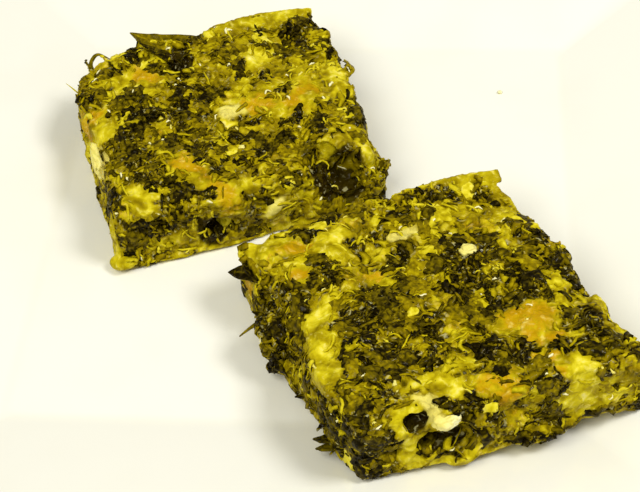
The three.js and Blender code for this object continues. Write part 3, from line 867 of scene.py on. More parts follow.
    def packed_bits(self, own: np.ndarray) -> tuple[np.ndarray, np.ndarray]:
        """The chopped bits that the skin is packed of, drawn out and curled as they lie.

        Args:
            own: Places on the square.

        Returns:
            How much of a gap each place is, and the three draws of the bit that it belongs to, from -1 to 1.
        """
        seed = Vector((self.seed * 3.1, 5.5, 1.9))
        length, breadth, height = self.bit_size
        lie = [Matrix.Diagonal((1 / length, 1 / breadth, 1 / height)) @ Matrix.Rotation(turn, 3, "Z")
               for turn in (0.4, 1.5, 2.6)]
        border = np.zeros(len(own))
        opened = np.zeros(len(own))
        draws = np.zeros((len(own), 3))
        for index, place in enumerate(own):
            spot = Vector(place)
            region = noise.noise(spot / 7 - seed)
            spot += noise.noise_vector(spot / 4.6 + seed) * 2.8
            spot += noise.noise_vector(spot / 1.5 - seed) * 0.5
            distances, points = noise.voronoi(lie[(region > -0.12) + (region > 0.12)] @ spot)
            border[index] = distances[1] - distances[0]
            opened[index] = noise.noise(spot / 2.1 + seed)
            draws[index] = noise.cell_vector(points[0] * 9.7)
        gap = (1 - ease(0.02, 0.3, border)) * (0.25 + 0.75 * ease(-0.3, 0.25, opened))
        return gap, draws * 2 - 1

    def roughen(self, shape: bmesh.types.BMesh, own: np.ndarray, found: dict[str, np.ndarray]) -> np.ndarray:
        """Works bits, gaps, crinkles and pits into the skin, and finds the tone and the gaps.

        Args:
            shape: The core.
            own: The places of its vertices on the square.
            found: The qualities there. The tone and the gaps are put with them.

        Returns:
            How far each vertex was moved out, in millimetres.
        """
        leafy = np.clip(found["leafy"], 0, 1)
        calm = found["calm"]
        gap, draws = self.packed_bits(own)
        rowdy = 1 - 0.72 * calm
        shade = leafy + 0.34 * draws[:, 1] * rowdy
        paler = 0.61 + 0.09 * calm + 0.16 * draws[:, 2] * rowdy
        found["tone"] = np.clip(paler - 0.5 * ease(0.25, 0.8, shade), 0, 1)
        found["gap"] = gap * rowdy * (0.75 + 0.25 * leafy)
        moved = (0.26 * draws[:, 0] - 0.7 * gap) * rowdy
        seed = Vector((2.2, self.seed, 7.7))
        for index, place in enumerate(own):
            spot = Vector(place)
            spot += noise.noise_vector(spot / 2.8 + seed) * 1.1
            crinkle = 0.5 - 1.6 * abs(noise.noise(spot / 1.5 + seed))
            lump = noise.noise(spot / 2.6 - seed)
            rough = crinkle * (0.1 + 0.3 * leafy[index]) + lump * 0.45
            moved[index] += rough * rowdy[index] - 0.9 * found["deep"][index]
        foot = ease(0.3, 2.2, own[:, 2])
        moved *= foot
        shape.normal_update()
        for vert, out in zip(shape.verts, moved):
            vert.co += vert.normal * float(out) * MM
        return moved

    def build_core(self) -> bpy.types.Object:
        """Builds the core and keeps its skin for what is laid on it."""
        shape = self.core()
        self.skin = BVHTree.FromBMesh(shape)
        places = np.array([vert.co for vert in shape.verts])
        own = self.own_places(places)
        found = self.qualities(own)
        moved = self.roughen(shape, own, found)
        # Painted shade in recesses: where roughening pushed the skin in, deep grows and the skin is painted darker.
        found["deep"] = np.clip(found["deep"] + ease(0.25, 0.95, -moved) * 0.7, 0, 1)
        bmesh.ops.smooth_vert(shape, verts=shape.verts, factor=0.4,
                              use_axis_x=True, use_axis_y=True, use_axis_z=True)
        piece = placed_piece(f"{self.name}_core", shape, CrustFinish().dress(), self.node)
        for name, values in found.items():
            carry(piece.data, name, evened(piece.data, values))
        self.seats = self.find_seats(piece.data, own, found)
        return piece

    def find_seats(self, mesh: bpy.types.Mesh, own: np.ndarray, found: dict[str, np.ndarray]) -> dict:
        """Where strips may be laid: faces that show, with their size and how leafy and calm they are."""
        count = len(mesh.polygons)
        centres = np.zeros(count * 3)
        normals = np.zeros(count * 3)
        areas = np.zeros(count)
        mesh.polygons.foreach_get("center", centres)
        mesh.polygons.foreach_get("normal", normals)
        mesh.polygons.foreach_get("area", areas)
        first = np.array([face.vertices[0] for face in mesh.polygons])
        normals = normals.reshape(-1, 3)
        areas[normals[:, 2] < -0.35] = 0
        areas[own[first, 2] < 0.6] = 0
        for curd in self.curds:
            reach = np.linalg.norm((own[first] - np.array(curd.at)) / (np.array(curd.reach) + 1.2), axis=1)
            areas[reach < 1] = 0
        return {
            "centre": centres.reshape(-1, 3), "area": areas, "leafy": np.clip(found["leafy"][first], 0, 1),
            "calm": found["calm"][first], "deep": found["deep"][first], "pale": found["pale"][first],
            "tone": found["tone"][first]}

    def grain(self, place: Vector, normal: Vector, stray: float, chance: random.Random) -> Vector:
        """The heading of the threads at a place: neighbours run nearly alike and curl together."""
        swirl = noise.noise_vector(place / (5.5 * MM) + Vector((self.seed, 0, 0)))
        heading = swirl - normal * swirl.dot(normal)
        if heading.length < 1e-4:
            heading = normal.orthogonal()
        heading.normalize()
        heading.rotate(Quaternion(normal, chance.gauss(0, stray)))
        return heading

    def lay_strip(self, shape: StripShape, sort: StripSort, start: Vector, chance: random.Random) -> np.ndarray:
        """Lays one strip over the skin, its ends sunk in and its middle standing up a little.

        Args:
            shape: The strip's shape.
            sort: Its sort.
            start: Where its middle is to lie.
            chance: The source of its random draws.

        Returns:
            Its vertices.
        """
        length = chance.uniform(*sort.length) * MM
        half_width = chance.uniform(*sort.width) / 2 * MM
        arch = chance.uniform(*sort.arch) * MM
        wander = chance.gauss(0, sort.curl)
        place, normal, _, _ = self.skin.find_nearest(start)
        heading = self.grain(place, normal, 0.45, chance)
        place = place - heading * length / 2
        steps = shape.rings
        rows = []
        for step in range(steps):
            share = step / (steps - 1)
            hit, up, _, _ = self.skin.find_nearest(place)
            heading = (heading - up * heading.dot(up)).normalized()
            heading.rotate(Quaternion(up, wander / steps * 2 + chance.gauss(0, 0.12)))
            bow = math.sin(math.pi * share) ** 0.5
            flutter = chance.uniform(-0.14, 0.14) * MM
            centre = hit + up * (arch * bow - 0.3 * MM * (1 - bow) + flutter * bow)
            side = up.cross(heading).normalized()
            lean = Quaternion(heading, chance.gauss(0, sort.roll))
            side.rotate(lean)
            over = up.copy()
            over.rotate(lean)
            reach = half_width * (0.55 + 0.45 * bow)
            torn = (chance.uniform(0.55, 1.3), chance.uniform(0.55, 1.3))
            half_thick = sort.thickness / 2 * MM * (0.5 + 0.5 * bow)
            rows.append((centre, side * (reach * torn[0]), side * (reach * torn[1]), over * half_thick))
            place = hit + heading * length / (steps - 1)
        centres, rights, lefts, overs = (np.array([row[k] for row in rows])[shape.ring] for k in range(4))
        across = shape.across[:, None]
        return centres + np.where(across > 0, rights, lefts) * across + overs * shape.up[:, None]

    def drawn_seats(self, count: int, leafy: float, seed: int) -> np.ndarray:
        """Draws places for strips or scraps.

        Args:
            count: How many.
            leafy: 1 to keep to leafy places, -1 to keep out of them, 0 for anywhere.
            seed: The seed of the draw.

        Returns:
            The numbers of the seats.
        """
        seats = self.seats
        liking = ease(0.2, 0.65, seats["leafy"]) if leafy > 0 else 1 - ease(0.2, 0.65, seats["leafy"])
        liking = liking * abs(leafy) + (1 - abs(leafy)) * 0.5
        liking = liking * (1 - 0.93 * np.clip(seats["calm"] + seats["pale"], 0, 1)) * (1 - 0.94 * seats["deep"])
        weight = seats["area"] * liking
        draws = np.random.default_rng(self.seed * 17 + seed)
        return draws.choice(len(weight), size=count, p=weight / weight.sum())

    def tones(self, chosen: np.ndarray, sort: StripSort | ScrapSort) -> np.ndarray:
        """The tones of what lies on the chosen seats: about that of the place, and a little of its own."""
        ground = self.seats["tone"][chosen]
        own = np.random.default_rng(self.seed + len(chosen)).normal(sort.shift, sort.spread, len(chosen))
        return np.clip(ground + own, 0, sort.palest)

    def lay_scrap(self, shape: ScrapShape, sort: ScrapSort, start: Vector,
                  chance: random.Random) -> tuple[np.ndarray, np.ndarray]:
        """Lays one crumpled scrap into the skin, its rim sunk in and its folds standing out.

        Args:
            shape: The scrap's shape.
            sort: Its sizes.
            start: Where its middle is to lie.
            chance: The source of its random draws.

        Returns:
            Its vertices, and how far each stands out on a fold, from -1 to 1.
        """
        half_length = chance.uniform(*sort.length) / 2 * MM
        half_width = chance.uniform(*sort.width) / 2 * MM
        middle, normal, _, _ = self.skin.find_nearest(start)
        heading = self.grain(middle, normal, 0.6, chance)
        side = normal.cross(heading)
        seed = Vector([chance.uniform(0, 40) for _ in range(3)])
        places = []
        ups = []
        folds = []
        for along, aside in shape.knots():
            ragged = 1 + 0.4 * noise.noise(Vector((along * 1.6, aside * 1.6, 0)) + seed)
            flat = middle + heading * (along * half_length * ragged) + side * (aside * half_width * ragged)
            hit, up, _, _ = self.skin.find_nearest(flat)
            edge = max(abs(along), abs(aside)) ** 4
            fold = noise.noise(hit / (sort.fold_size * MM) + seed)
            crease = 0.5 - 1.5 * abs(noise.noise(hit / (0.8 * sort.fold_size * MM) - seed))
            rise = 0.16 + sort.crumple * (0.55 * fold + 0.45 * crease)
            places.append(hit + up * (rise * (1 - edge) - 0.34 * edge) * MM)
            ups.append(up * sort.thickness * MM)
            folds.append(0.5 * fold + 0.8 * crease)
        return (np.array(places)[shape.knot] + np.array(ups)[shape.knot] * shape.up[:, None],
                np.array(folds)[shape.knot])

    def build_scraps(self, sort: ScrapSort, finish: bpy.types.Material) -> bpy.types.Object:
        """Lays all of a square's crumpled scraps.

        Args:
            sort: Their sizes.
            finish: Their material.

        Returns:
            The joined piece.
        """
        chance = random.Random(self.seed * 13)
        shape = ScrapShape()
        chosen = self.drawn_seats(sort.count, 1.0, 5)
        starts = self.seats["centre"][chosen]
        laid = [self.lay_scrap(shape, sort, Vector(start), chance) for start in starts]
        mesh = joined_mesh(sort.name, [places for places, _ in laid], shape.faces)
        tones = np.repeat(self.tones(chosen, sort), len(shape.knot))
        # Painted light and shade: each scrap is lighter where it stands out on a fold and darker in its creases.
        tones += np.concatenate([folds for _, folds in laid]) * sort.contrast
        carry(mesh, "tone", np.minimum(tones, sort.palest + 0.04))
        return placed_piece(f"{self.name}_{sort.name}", mesh, finish, self.node)

    def build_strips(self, sort: StripSort, finish: bpy.types.Material) -> bpy.types.Object:
        """Lays all of a square's strips of one sort.

        Args:
            sort: The sort of strip.
            finish: Its material.

        Returns:
            The joined piece.
        """
        chance = random.Random(self.seed * 31 + len(sort.name))
        shape = StripShape()
        chosen = self.drawn_seats(sort.count, sort.leafy, sort.count)
        starts = self.seats["centre"][chosen]
        laid = [self.lay_strip(shape, sort, Vector(start), chance) for start in starts]
        mesh = joined_mesh(sort.name, laid, shape.faces)
        carry(mesh, "tone", np.repeat(self.tones(chosen, sort), len(shape.ring)))
        return placed_piece(f"{self.name}_{sort.name}", mesh, finish, self.node)

    def blade(self, leaf: Leaf, chance: random.Random) -> bmesh.types.BMesh:
        """A leaf's blade along its spine, rippled across, with a groove down its middle."""
        shape = bmesh.new()
        bmesh.ops.create_grid(shape, x_segments=22, y_segments=8, size=1)
        tone = shape.verts.layers.float.new("tone")
        knots = [self.in_model(point) for point in leaf.spine]
        phase = chance.uniform(0, 6.28)
        for vert in shape.verts:
            share, aside = vert.co.x / 2 + 0.5, vert.co.y
            centre, forward = bent(knots, share)
            level = Vector((-forward.y, forward.x, 0)).normalized()
            level.rotate(Quaternion(forward, leaf.tilt))
            normal = forward.cross(level).normalized()
            widest = math.sin(math.pi * (0.26 + 0.74 * share)) ** 1.1
            frill = 1 + 0.16 * math.sin(9 * share + phase) * abs(aside)
            reach = leaf.width / 2 * (0.05 + 0.95 * widest) * frill
            wave = leaf.ripple * (math.sin(7.5 * share + 1.9 * aside + phase) * 0.6
                                  + 0.5 * noise.noise(Vector((6 * share, 2 * aside, phase))))
            groove = -0.1 * reach * math.exp(-(aside / 0.16) ** 2)
            vert.co = centre + level * (reach * aside * MM) + normal * ((wave * min(1.0, reach) + groove) * MM)
            vert[tone] = leaf.tone + 0.16 * math.exp(-(aside / 0.12) ** 2)
        bmesh.ops.recalc_face_normals(shape, faces=shape.faces)
        bmesh.ops.solidify(shape, geom=list(shape.faces), thickness=min(0.34, 0.24 * leaf.width) * MM)
        return shape

    def build_leaves(self, finish: bpy.types.Material) -> bpy.types.Object:
        """Builds the square's named leaves as one piece."""
        chance = random.Random(self.seed + 5)
        whole = bmesh.new()
        for leaf in self.leaves:
            blade = self.blade(leaf, chance)
            mesh = bpy.data.meshes.new("blade")
            blade.to_mesh(mesh)
            blade.free()
            whole.from_mesh(mesh)
            bpy.data.meshes.remove(mesh)
        return placed_piece(f"{self.name}_leaves", whole, finish, self.node)

    def build_curds(self, finish: bpy.types.Material) -> bpy.types.Object:
        """Builds the square's lumps of cheese as one piece."""
        whole = bmesh.new()
        white = whole.verts.layers.float.new("whiteness")
        for curd in self.curds:
            made = bmesh.ops.create_icosphere(whole, subdivisions=4, radius=1)["verts"]
            turned = Quaternion((0, 0, 1), self.turn)
            middle = self.in_model(curd.at)
            for vert in made:
                round_place = vert.co.copy()
                squared = Vector([math.copysign(abs(value) ** 0.8, value) for value in round_place])
                ragged = 1 + 0.3 * noise.noise(round_place * 1.7 + Vector(curd.at))
                ragged += 0.12 * noise.noise(round_place * 4.5 + Vector(curd.at))
                offset = Vector([value * reach for value, reach in zip(squared * ragged, curd.reach)])
                offset.rotate(turned)
                vert.co = middle + offset * MM
                fade = 0.55 + 0.7 * round_place.x - 0.5 * round_place.z
                vert[white] = curd.whiteness * min(1.0, max(0.0, fade))
        return placed_piece(f"{self.name}_curds", whole, finish, self.node)

    def build(self) -> None:
        """Builds the square."""
        self.build_core()
        strips = StripFinish().dress()
        self.build_scraps(ScrapSort(), strips)
        for sort in STRIP_SORTS:
            self.build_strips(sort, strips)
        self.build_leaves(strips)
        self.build_curds(CurdFinish().dress())


def bent(knots: list[Vector], share: float) -> tuple[Vector, Vector]:
    """A point and its heading on a smooth curve through three or four points."""
    spans = len(knots) - 1
    span = min(int(share * spans), spans - 1)
    t = share * spans - span
    before = knots[max(span - 1, 0)]
    start, end = knots[span], knots[span + 1]
    after = knots[min(span + 2, spans)]
    leave, arrive = (end - before) / 2, (after - start) / 2
    point = (start * (2 * t ** 3 - 3 * t ** 2 + 1) + leave * (t ** 3 - 2 * t ** 2 + t)
             + end * (3 * t ** 2 - 2 * t ** 3) + arrive * (t ** 3 - t ** 2))
    heading = (start * (6 * t ** 2 - 6 * t) + leave * (3 * t ** 2 - 4 * t + 1)
               + end * (6 * t - 6 * t ** 2) + arrive * (3 * t ** 2 - 2 * t))
    return point, heading.normalized()


NODES: dict[str, bpy.types.Object] = {}


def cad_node(name: str) -> bpy.types.Object:
    """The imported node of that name."""
    return NODES[name]


L, G, O, Y, B, P, H = Kind.LEAF, Kind.GREEN, Kind.OLIVE, Kind.YELLOW, Kind.ORANGE, Kind.PALE, Kind.HOLLOW_SHADE

BACK_PATCHES = (
    Patch(O, (6, 21), (6, 8)),
    Patch(O, (-8, 22), (7, 5)),
    Patch(G, (-9, 27), (6, 3.4), -10),
    Patch(B, (-13, 16), (3.2, 5), 20),
    Patch(B, (-28.4, 6), (2.4, 5), 90),
    Patch(Y, (-25.4, 0.6), (4.6, 4)),
    Patch(Y, (-19, 15), (4, 3), 30),
    Patch(Y, (12, 13), (6, 5)),
    Patch(Y, (13.6, 2.8), (2.6, 1.9)),
    Patch(B, (9, -3), (5, 4)),
    Patch(B, (18.8, -4), (6.2, 4), 20),
    Patch(L, (14.2, -10.2), (2.6, 1.6)),
    Patch(Y, (20.2, -5.2), (2.6, 2.2)),
    Patch(B, (-11, -17.4), (7.4, 2.8), 118),
    Patch(B, (-5.6, -26.4), (5, 3), 125),
    Patch(L, (-7.6, -27), (1.4, 1.3)),
    Patch(Y, (-9.2, -24), (1.8, 1.8)),
    Patch(P, (2.4, -3.6), (3.6, 3)),
    Patch(P, (1.8, -15), (1.4, 0.8)),
    Patch(Y, (17.6, 27), (14, 3.2)),
    Patch(Y, (7.4, 6.2), (3, 2.4)),
    Patch(Y, (28, 1), (3, 4)),
    Patch(Y, (20, -19.6), (4.6, 2.4), 10),
    Patch(Y, (27.6, -23.6), (2.6, 4)),
    Patch(O, (-14, -13.4), (2.4, 2.4)),
    Patch(Y, (-22, -22.6), (3.4, 3.4)),
    Patch(Y, (-10.8, -21.6), (2.4, 2)),
    Patch(L, (-27.4, -20), (1.6, 4)),
    Patch(L, (-4.4, 17.4), (3.2, 3)),
    Patch(L, (0.6, 24), (4, 2)),
    Patch(L, (7.4, 17.4), (2.6, 1.9)),
    Patch(L, (-20, 20), (3, 1.8)),
    Patch(L, (-23.4, 13), (3.6, 1.1), 15),
    Patch(L, (-18.4, 8.8), (5, 2.4)),
    Patch(L, (-27.6, 13), (3.4, 1.4), 90),
    Patch(L, (-17.2, 1.6), (5.4, 2.4), 100),
    Patch(L, (-22.4, -5.4), (3.8, 2.4), 70),
    Patch(L, (-8.2, -2.6), (6.4, 2.6), 105),
    Patch(L, (-2.6, 4.4), (4.6, 3.6)),
    Patch(L, (-6.4, -13), (6.4, 2.8), 110),
    Patch(L, (5.2, -16.6), (5.6, 3.1)),
    Patch(L, (14, -18.4), (4.6, 2.5)),
    Patch(L, (-17.4, -17), (5.4, 3.4), 100),
    Patch(L, (-22, -11), (3, 3)),
    Patch(L, (20.6, 12.6), (3.2, 2.6)),
    Patch(L, (25, 17.4), (5.4, 3.2), 60),
    Patch(L, (29.4, 14.6), (1.8, 2.8)),
    Patch(L, (23.6, 20.4), (3.4, 1.8)),
    Patch(Y, (27, 26.4), (5.4, 3.2)),
    Patch(L, (8, 11.6), (2.2, 2.4)),
    Patch(L, (12.4, -15.4), (3.2, 2.6)),
    Patch(L, (4.2, -12.6), (2.6, 1.6)),
    Patch(L, (12.2, 6), (1.3, 3)),
    Patch(L, (29.4, -11.4), (5.2, 1.8), 95),
    Patch(L, (22.6, -8.6), (1.5, 1.1)),
    Patch(L, (6.8, -6.6), (2.4, 1.4)),
    Patch(Y, (1, -8), (2.4, 1.6)),
    Patch(Y, (0, -25.6), (3.6, 2)),
    Patch(H, (21.5, -26.5), (4.6, 2.6)),
    # A hollow under the big leaf, painted dark also as the leaf's shadow.
    Patch(H, (-4.4, 18.6), (3.4, 5.2)),
    Patch(L, (-10.2, 18.8), (2.2, 1.9)),
    Patch(L, (-13.8, 25.6), (3, 1.8)),
    Patch(H, (-8.8, 5.6), (3.4, 4.2), 0, Side.FRONT),
    Patch(H, (20.7, 9), (5.4, 6.6), 0, Side.FRONT),
    Patch(O, (4, 8), (8.4, 3), 32, Side.FRONT),
    # Painted highlight: a pale streak along the stalk on the front wall.
    Patch(P, (5.6, 8.6), (3.8, 1.2), 32, Side.FRONT),
    Patch(Y, (-29.2, 2), (3.4, 2.6), 0, Side.FRONT),
    Patch(Y, (-2, 0.3), (22, 0.9), 0, Side.FRONT),
    Patch(L, (-26.4, 8.4), (4.4, 4.6), 0, Side.FRONT),
    Patch(G, (-20.4, 2), (3, 1.5), 0, Side.FRONT),
    Patch(O, (-18.4, 13), (2.6, 2), 0, Side.FRONT),
    Patch(L, (-19.7, 9), (3.4, 3), 0, Side.FRONT),
    Patch(G, (-1.4, 4.4), (2.6, 2.6), 0, Side.FRONT),
    Patch(Y, (9.6, 0.8), (5, 1.4), 0, Side.FRONT),
    Patch(G, (28, 6.6), (3.4, 4), 0, Side.FRONT),
    Patch(P, (-5.6, 10.6), (5, 3.4), 0, Side.LEFT),
    Patch(B, (6, 10), (7, 5.6), 0, Side.LEFT),
    Patch(Y, (-21.4, 7), (5, 6.2), 0, Side.LEFT),
    # Golden custard, painted brighter to stand in for the light bounced onto this shaded face.
    Patch(Y, (7, 6), (5, 3), 0, Side.LEFT),
    Patch(L, (-14, 8), (4.4, 4.4), 0, Side.LEFT),
    Patch(L, (20, 9), (4.4, 4), 0, Side.LEFT),
)

BACK_LEAVES = (
    Leaf(((0.8, 22.6, 15.2), (-4.8, 24.0, 16.0), (-9.5, 26.2, 16.6), (-13.5, 29.9, 17.2)), 5, -0.5, 0.34, 0.9),
    Leaf(((-4.2, 17.4, 14.9), (-8.2, 21.4, 16.4), (-12, 26, 16.9)), 2.4, 0.2, 0.08),
    Leaf(((-23.6, 21.2, 13.4), (-24.3, 23.6, 14.6), (-23.7, 25.5, 15.3), (-21.9, 26.6, 15.7), (-19.4, 25.2, 14.6)),
         1.1, 0, 0.3, 0.2),
    Leaf(((-28.0, 15.6, 13.4), (-29.6, 18.6, 13.9), (-30.8, 20.6, 14.2)), 0.36, 0.3, 0.7, 0.1),
    Leaf(((28, -22.6, 6.2), (31.4, -25, 8.4), (30.6, -27.6, 11.8)), 5, 0.9, 0.3),
    Leaf(((30.6, 2.4, 13.6), (32.8, 4.4, 13.8), (32.4, 8.4, 13)), 2.6, 0.6, 0.5),
)

BACK_CURDS = (
    Curd((-28.6, -4.2, 11.2), (1.2, 4.4, 2.4), 0.2),
    Curd((1.9, -15, 15), (0.8, 0.6, 0.4), 0.3),
)

BACK_BULGES = (
    Bulge((-0.2, -26.2, 5.6), (2.6, 1.9, 2.1)),
    Bulge((3.6, -26.3, 8.2), (3.4, 2.1, 2.4)),
    Bulge((8.4, -26.2, 10.8), (3.2, 2.0, 2.2)),
    Bulge((-28.4, -26.4, 1.3), (3.2, 2.4, 1.7)),
)

FRONT_PATCHES = (
    Patch(O, (7, 22.4), (6.4, 3)),
    Patch(Y, (-25.4, 25.2), (5.4, 4.4)),
    Patch(O, (-1.4, 12.6), (3.6, 3.2)),
    Patch(L, (-1, 12.8), (2.4, 1.6)),
    Patch(B, (-20, 22), (5, 2)),
    Patch(Y, (-13.6, 19.4), (3.2, 3)),
    Patch(Y, (-20.4, 4.8), (4.8, 2.5), 42),
    Patch(Y, (-25, -4), (7, 3), 80),
    Patch(Y, (-25.2, -10.6), (3.6, 2.4), 90),
    Patch(B, (-26, 21), (2, 2)),
    Patch(B, (-8.4, 8.4), (2, 2)),
    Patch(O, (19, -14), (8, 6)),
    Patch(Y, (28.4, -25), (2.4, 3)),
    Patch(Y, (8.4, -13), (3, 2.4)),
    Patch(B, (13.6, -13.6), (6.8, 4.6)),
    Patch(B, (2, -29), (3.8, 1.8)),
    Patch(B, (11.4, -24), (3.6, 2)),
    Patch(B, (-1, -24.4), (3.2, 1.6)),
    Patch(P, (1.6, 17.6), (4, 1.9)),
    Patch(Y, (5.2, 15.6), (3.4, 1.8)),
    Patch(O, (-16, -24), (5, 2.8)),
    Patch(P, (-12, -25.4), (6, 2)),
    Patch(Y, (-7.6, -23.8), (4, 2.6)),
    Patch(O, (-1.6, -21.6), (3, 1.8)),
    Patch(O, (19, -26.6), (6, 4)),
    Patch(Y, (14.6, -30), (2.2, 2.2)),
    Patch(Y, (23.4, -7.4), (3, 1.4), 25),
    Patch(Y, (23.4, -13.6), (1.9, 1.4)),
    Patch(Y, (28.2, -13.8), (2.2, 2.6)),
    Patch(Y, (16, 27.4), (12, 2), -14),
    Patch(Y, (25, 23.4), (2.2, 4.4)),
    Patch(Y, (23, 28.2), (4.6, 2.2)),
    Patch(O, (10.4, 17.8), (4.4, 2.6)),
    Patch(Y, (-20.4, 18.4), (2.2, 2)),
    Patch(Y, (-17.4, -26.2), (3.6, 2.4)),
    Patch(Y, (-11.6, -20.4), (2.8, 1.8)),
    Patch(Y, (-3, -19.6), (5, 1.8)),
    Patch(O, (-24.4, 18.8), (4, 3.4)),
    Patch(B, (-22, 15.6), (3, 1.5)),
    Patch(L, (-17.4, 14), (4.6, 2.4), 80),
    Patch(L, (-9.2, 1.6), (6, 4.4)),
    Patch(L, (-17.6, -2.8), (4.3, 5.4)),
    Patch(L, (-18.6, -12.6), (2.6, 3.2)),
    Patch(O, (-12.2, -6.4), (2.2, 2.2)),
    Patch(L, (3.9, 24), (2.6, 1.6)),
    Patch(L, (2.4, 21.2), (2.2, 1.2)),
    Patch(L, (5.4, 28.2), (2.4, 1.3)),
    Patch(L, (-24, 11), (5, 1.3), 100),
    Patch(L, (7.4, 7), (4.4, 3.8)),
    Patch(L, (9.8, -1.4), (4, 2.4)),
    Patch(L, (13.6, 5.4), (5.4, 4)),
    Patch(L, (13.6, 9.4), (2.6, 1.5)),
    Patch(L, (16.8, 3.2), (2.8, 2)),
    Patch(L, (10, 10.6), (6, 1.2), 15),
    Patch(Y, (10.4, 14), (2.6, 1.5)),
    Patch(L, (18.2, -5.6), (4.8, 3.2), 15),
    Patch(L, (18.8, -8.8), (2.8, 2)),
    Patch(L, (20.8, -15), (2.2, 1.7)),
    Patch(L, (27.4, -6.4), (2.2, 3)),
    Patch(L, (24.6, -3), (4.4, 3.6), 60),
    Patch(L, (26.4, 6.4), (1.8, 2.2)),
    Patch(L, (2.8, -18), (4.4, 3)),
    Patch(L, (24.6, -17.6), (3, 3.2)),
    Patch(H, (25, -17.6), (1.9, 2.4)),
    Patch(B, (16.8, -20), (2.4, 1.7)),
    Patch(L, (20.6, -18.6), (1.6, 1.2)),
    Patch(L, (20.6, -22.6), (2, 1.5)),
    Patch(L, (15.6, -22), (2.6, 1.4)),
    Patch(L, (23.6, -21), (2.2, 2.4)),
    Patch(L, (26, -24.4), (1.5, 2.2)),
    Patch(B, (12.4, -28), (2.6, 1.6)),
    Patch(L, (16.4, -27), (1.6, 1.2)),
    Patch(L, (5.6, -24.2), (3.8, 2.6)),
    Patch(L, (8, -20.6), (3, 2)),
    Patch(B, (12, -18.2), (3.2, 1.9)),
    Patch(Y, (5.2, -24.8), (1.7, 0.9)),
    Patch(L, (10.6, -30.6), (1.2, 1.5)),
    Patch(L, (-16, 27), (2.8, 2.2)),
    Patch(Y, (-11.6, 22.6), (4, 1.8), -20),
    Patch(L, (20.6, 22), (1.9, 1.2)),
    Patch(O, (23.5, 11.6), (2.2, 2.4)),
    Patch(L, (21.6, 18.2), (2.4, 1.5)),
    Patch(L, (13.4, 25.8), (3.6, 1.2)),
    Patch(Y, (12.4, 29.6), (8, 2.4)),
    Patch(Y, (26.2, 17.8), (2, 2.8)),
    Patch(L, (6.6, 27.4), (3.4, 0.9), -20),
    Patch(L, (26.4, 13), (2.2, 1.3), 60),
    Patch(Y, (22.2, 14.6), (2.8, 2)),
    Patch(L, (-12.6, -11), (4, 2.4), -40),
    Patch(L, (-4.6, -6.6), (4.6, 3)),
    Patch(L, (-7, -15.6), (3.6, 2)),
    Patch(L, (-4.4, -11), (3, 2)),
    Patch(L, (-22.6, -14), (2, 2.6)),
    Patch(L, (-18.4, -16), (2.6, 1.9)),
    Patch(L, (9.4, -8.6), (4.8, 2.8), 10),
    Patch(L, (-20.4, -20.6), (4.2, 2)),
    Patch(L, (-27, -27), (3, 3.4)),
    Patch(Y, (-9.4, -27.4), (3, 1.6)),
    Patch(H, (-7.8, 16), (3.4, 0.9), 75),
    Patch(H, (-14.2, -28), (1.3, 1.8)),
    Patch(L, (-4.8, -28.2), (1.3, 1.9)),
    Patch(H, (-11.2, 6.2), (4, 2.3), 0, Side.FRONT),
    Patch(Y, (-17, 7.4), (1.8, 2.4), 0, Side.FRONT),
    Patch(P, (-12, 12.2), (2.8, 1.8), 15, Side.FRONT),
    Patch(L, (-8.6, 13.2), (1.7, 2.4), 0, Side.FRONT),
    Patch(O, (-12, 9.6), (6, 2), 0, Side.FRONT),
    Patch(H, (-15.2, 12.2), (2, 2.2), 0, Side.FRONT),
    Patch(Y, (-16.6, 3.2), (2.6, 2.4), 0, Side.FRONT),
    Patch(B, (1.8, 14.4), (3.4, 1.8), 0, Side.FRONT),
    Patch(Y, (6.8, 11.8), (3, 2.4), 0, Side.FRONT),
    Patch(L, (11.4, 12.8), (2.8, 2.5), 0, Side.FRONT),
    Patch(Y, (16.8, 14.2), (3, 2.2), 0, Side.FRONT),
    Patch(L, (-4.6, 12), (2.2, 4), 0, Side.FRONT),
    Patch(L, (-22.4, 10.8), (3, 3.6), 0, Side.FRONT),
    Patch(L, (-27.8, 11), (1.8, 3.6), 0, Side.FRONT),
    Patch(H, (-21.2, 5), (1.8, 1.2), 0, Side.FRONT),
    Patch(G, (-1.9, 7.7), (4, 3), 0, Side.FRONT),
    Patch(L, (9.8, 6), (4, 2.6), 0, Side.FRONT),
    Patch(O, (5.2, 11.2), (2.8, 2.2), 0, Side.FRONT),
    Patch(Y, (18.4, 8.8), (8.4, 4), 0, Side.FRONT),
    Patch(Y, (17.6, 4.8), (5, 2.4), 0, Side.FRONT),
    Patch(L, (22.4, 8.6), (2.6, 0.7), 0, Side.FRONT),
    Patch(Y, (-10.2, 0.6), (6.6, 1.6), 0, Side.FRONT),
    Patch(L, (-26.4, 1.4), (2.6, 1.5), 0, Side.FRONT),
    # Painted shadow: a dark band along the foot of the front face, where the square is lifted off the plate.
    Patch(H, (9.6, 0.5), (7.4, 1.1), 0, Side.FRONT),
    Patch(Y, (21.6, 0.9), (5.4, 1.3), 0, Side.FRONT),
    Patch(Y, (5, 0.5), (9, 0.9), 0, Side.FRONT),
    Patch(L, (12.6, 9.6), (5, 3), 0, Side.LEFT),
    Patch(L, (-17, 7), (9, 5), 0, Side.LEFT),
    Patch(Y, (-11, 13), (3, 2.4), 0, Side.LEFT),
    Patch(Y, (3, 14.6), (3, 2), 0, Side.LEFT),
    Patch(B, (25, 7), (4, 3), 0, Side.LEFT),
    Patch(L, (23.6, 12), (3, 2), 0, Side.LEFT),
    Patch(O, (-2.6, 9.6), (3.6, 3.6), 0, Side.LEFT),
    Patch(G, (6.4, 5.4), (7, 5), 10, Side.LEFT),
    Patch(L, (5.6, 7.4), (4.6, 1.1), 40, Side.LEFT),
    Patch(O, (6.4, 1.3), (1.8, 1), 0, Side.LEFT),
    Patch(L, (13, 2.4), (3.4, 2), 0, Side.LEFT),
)

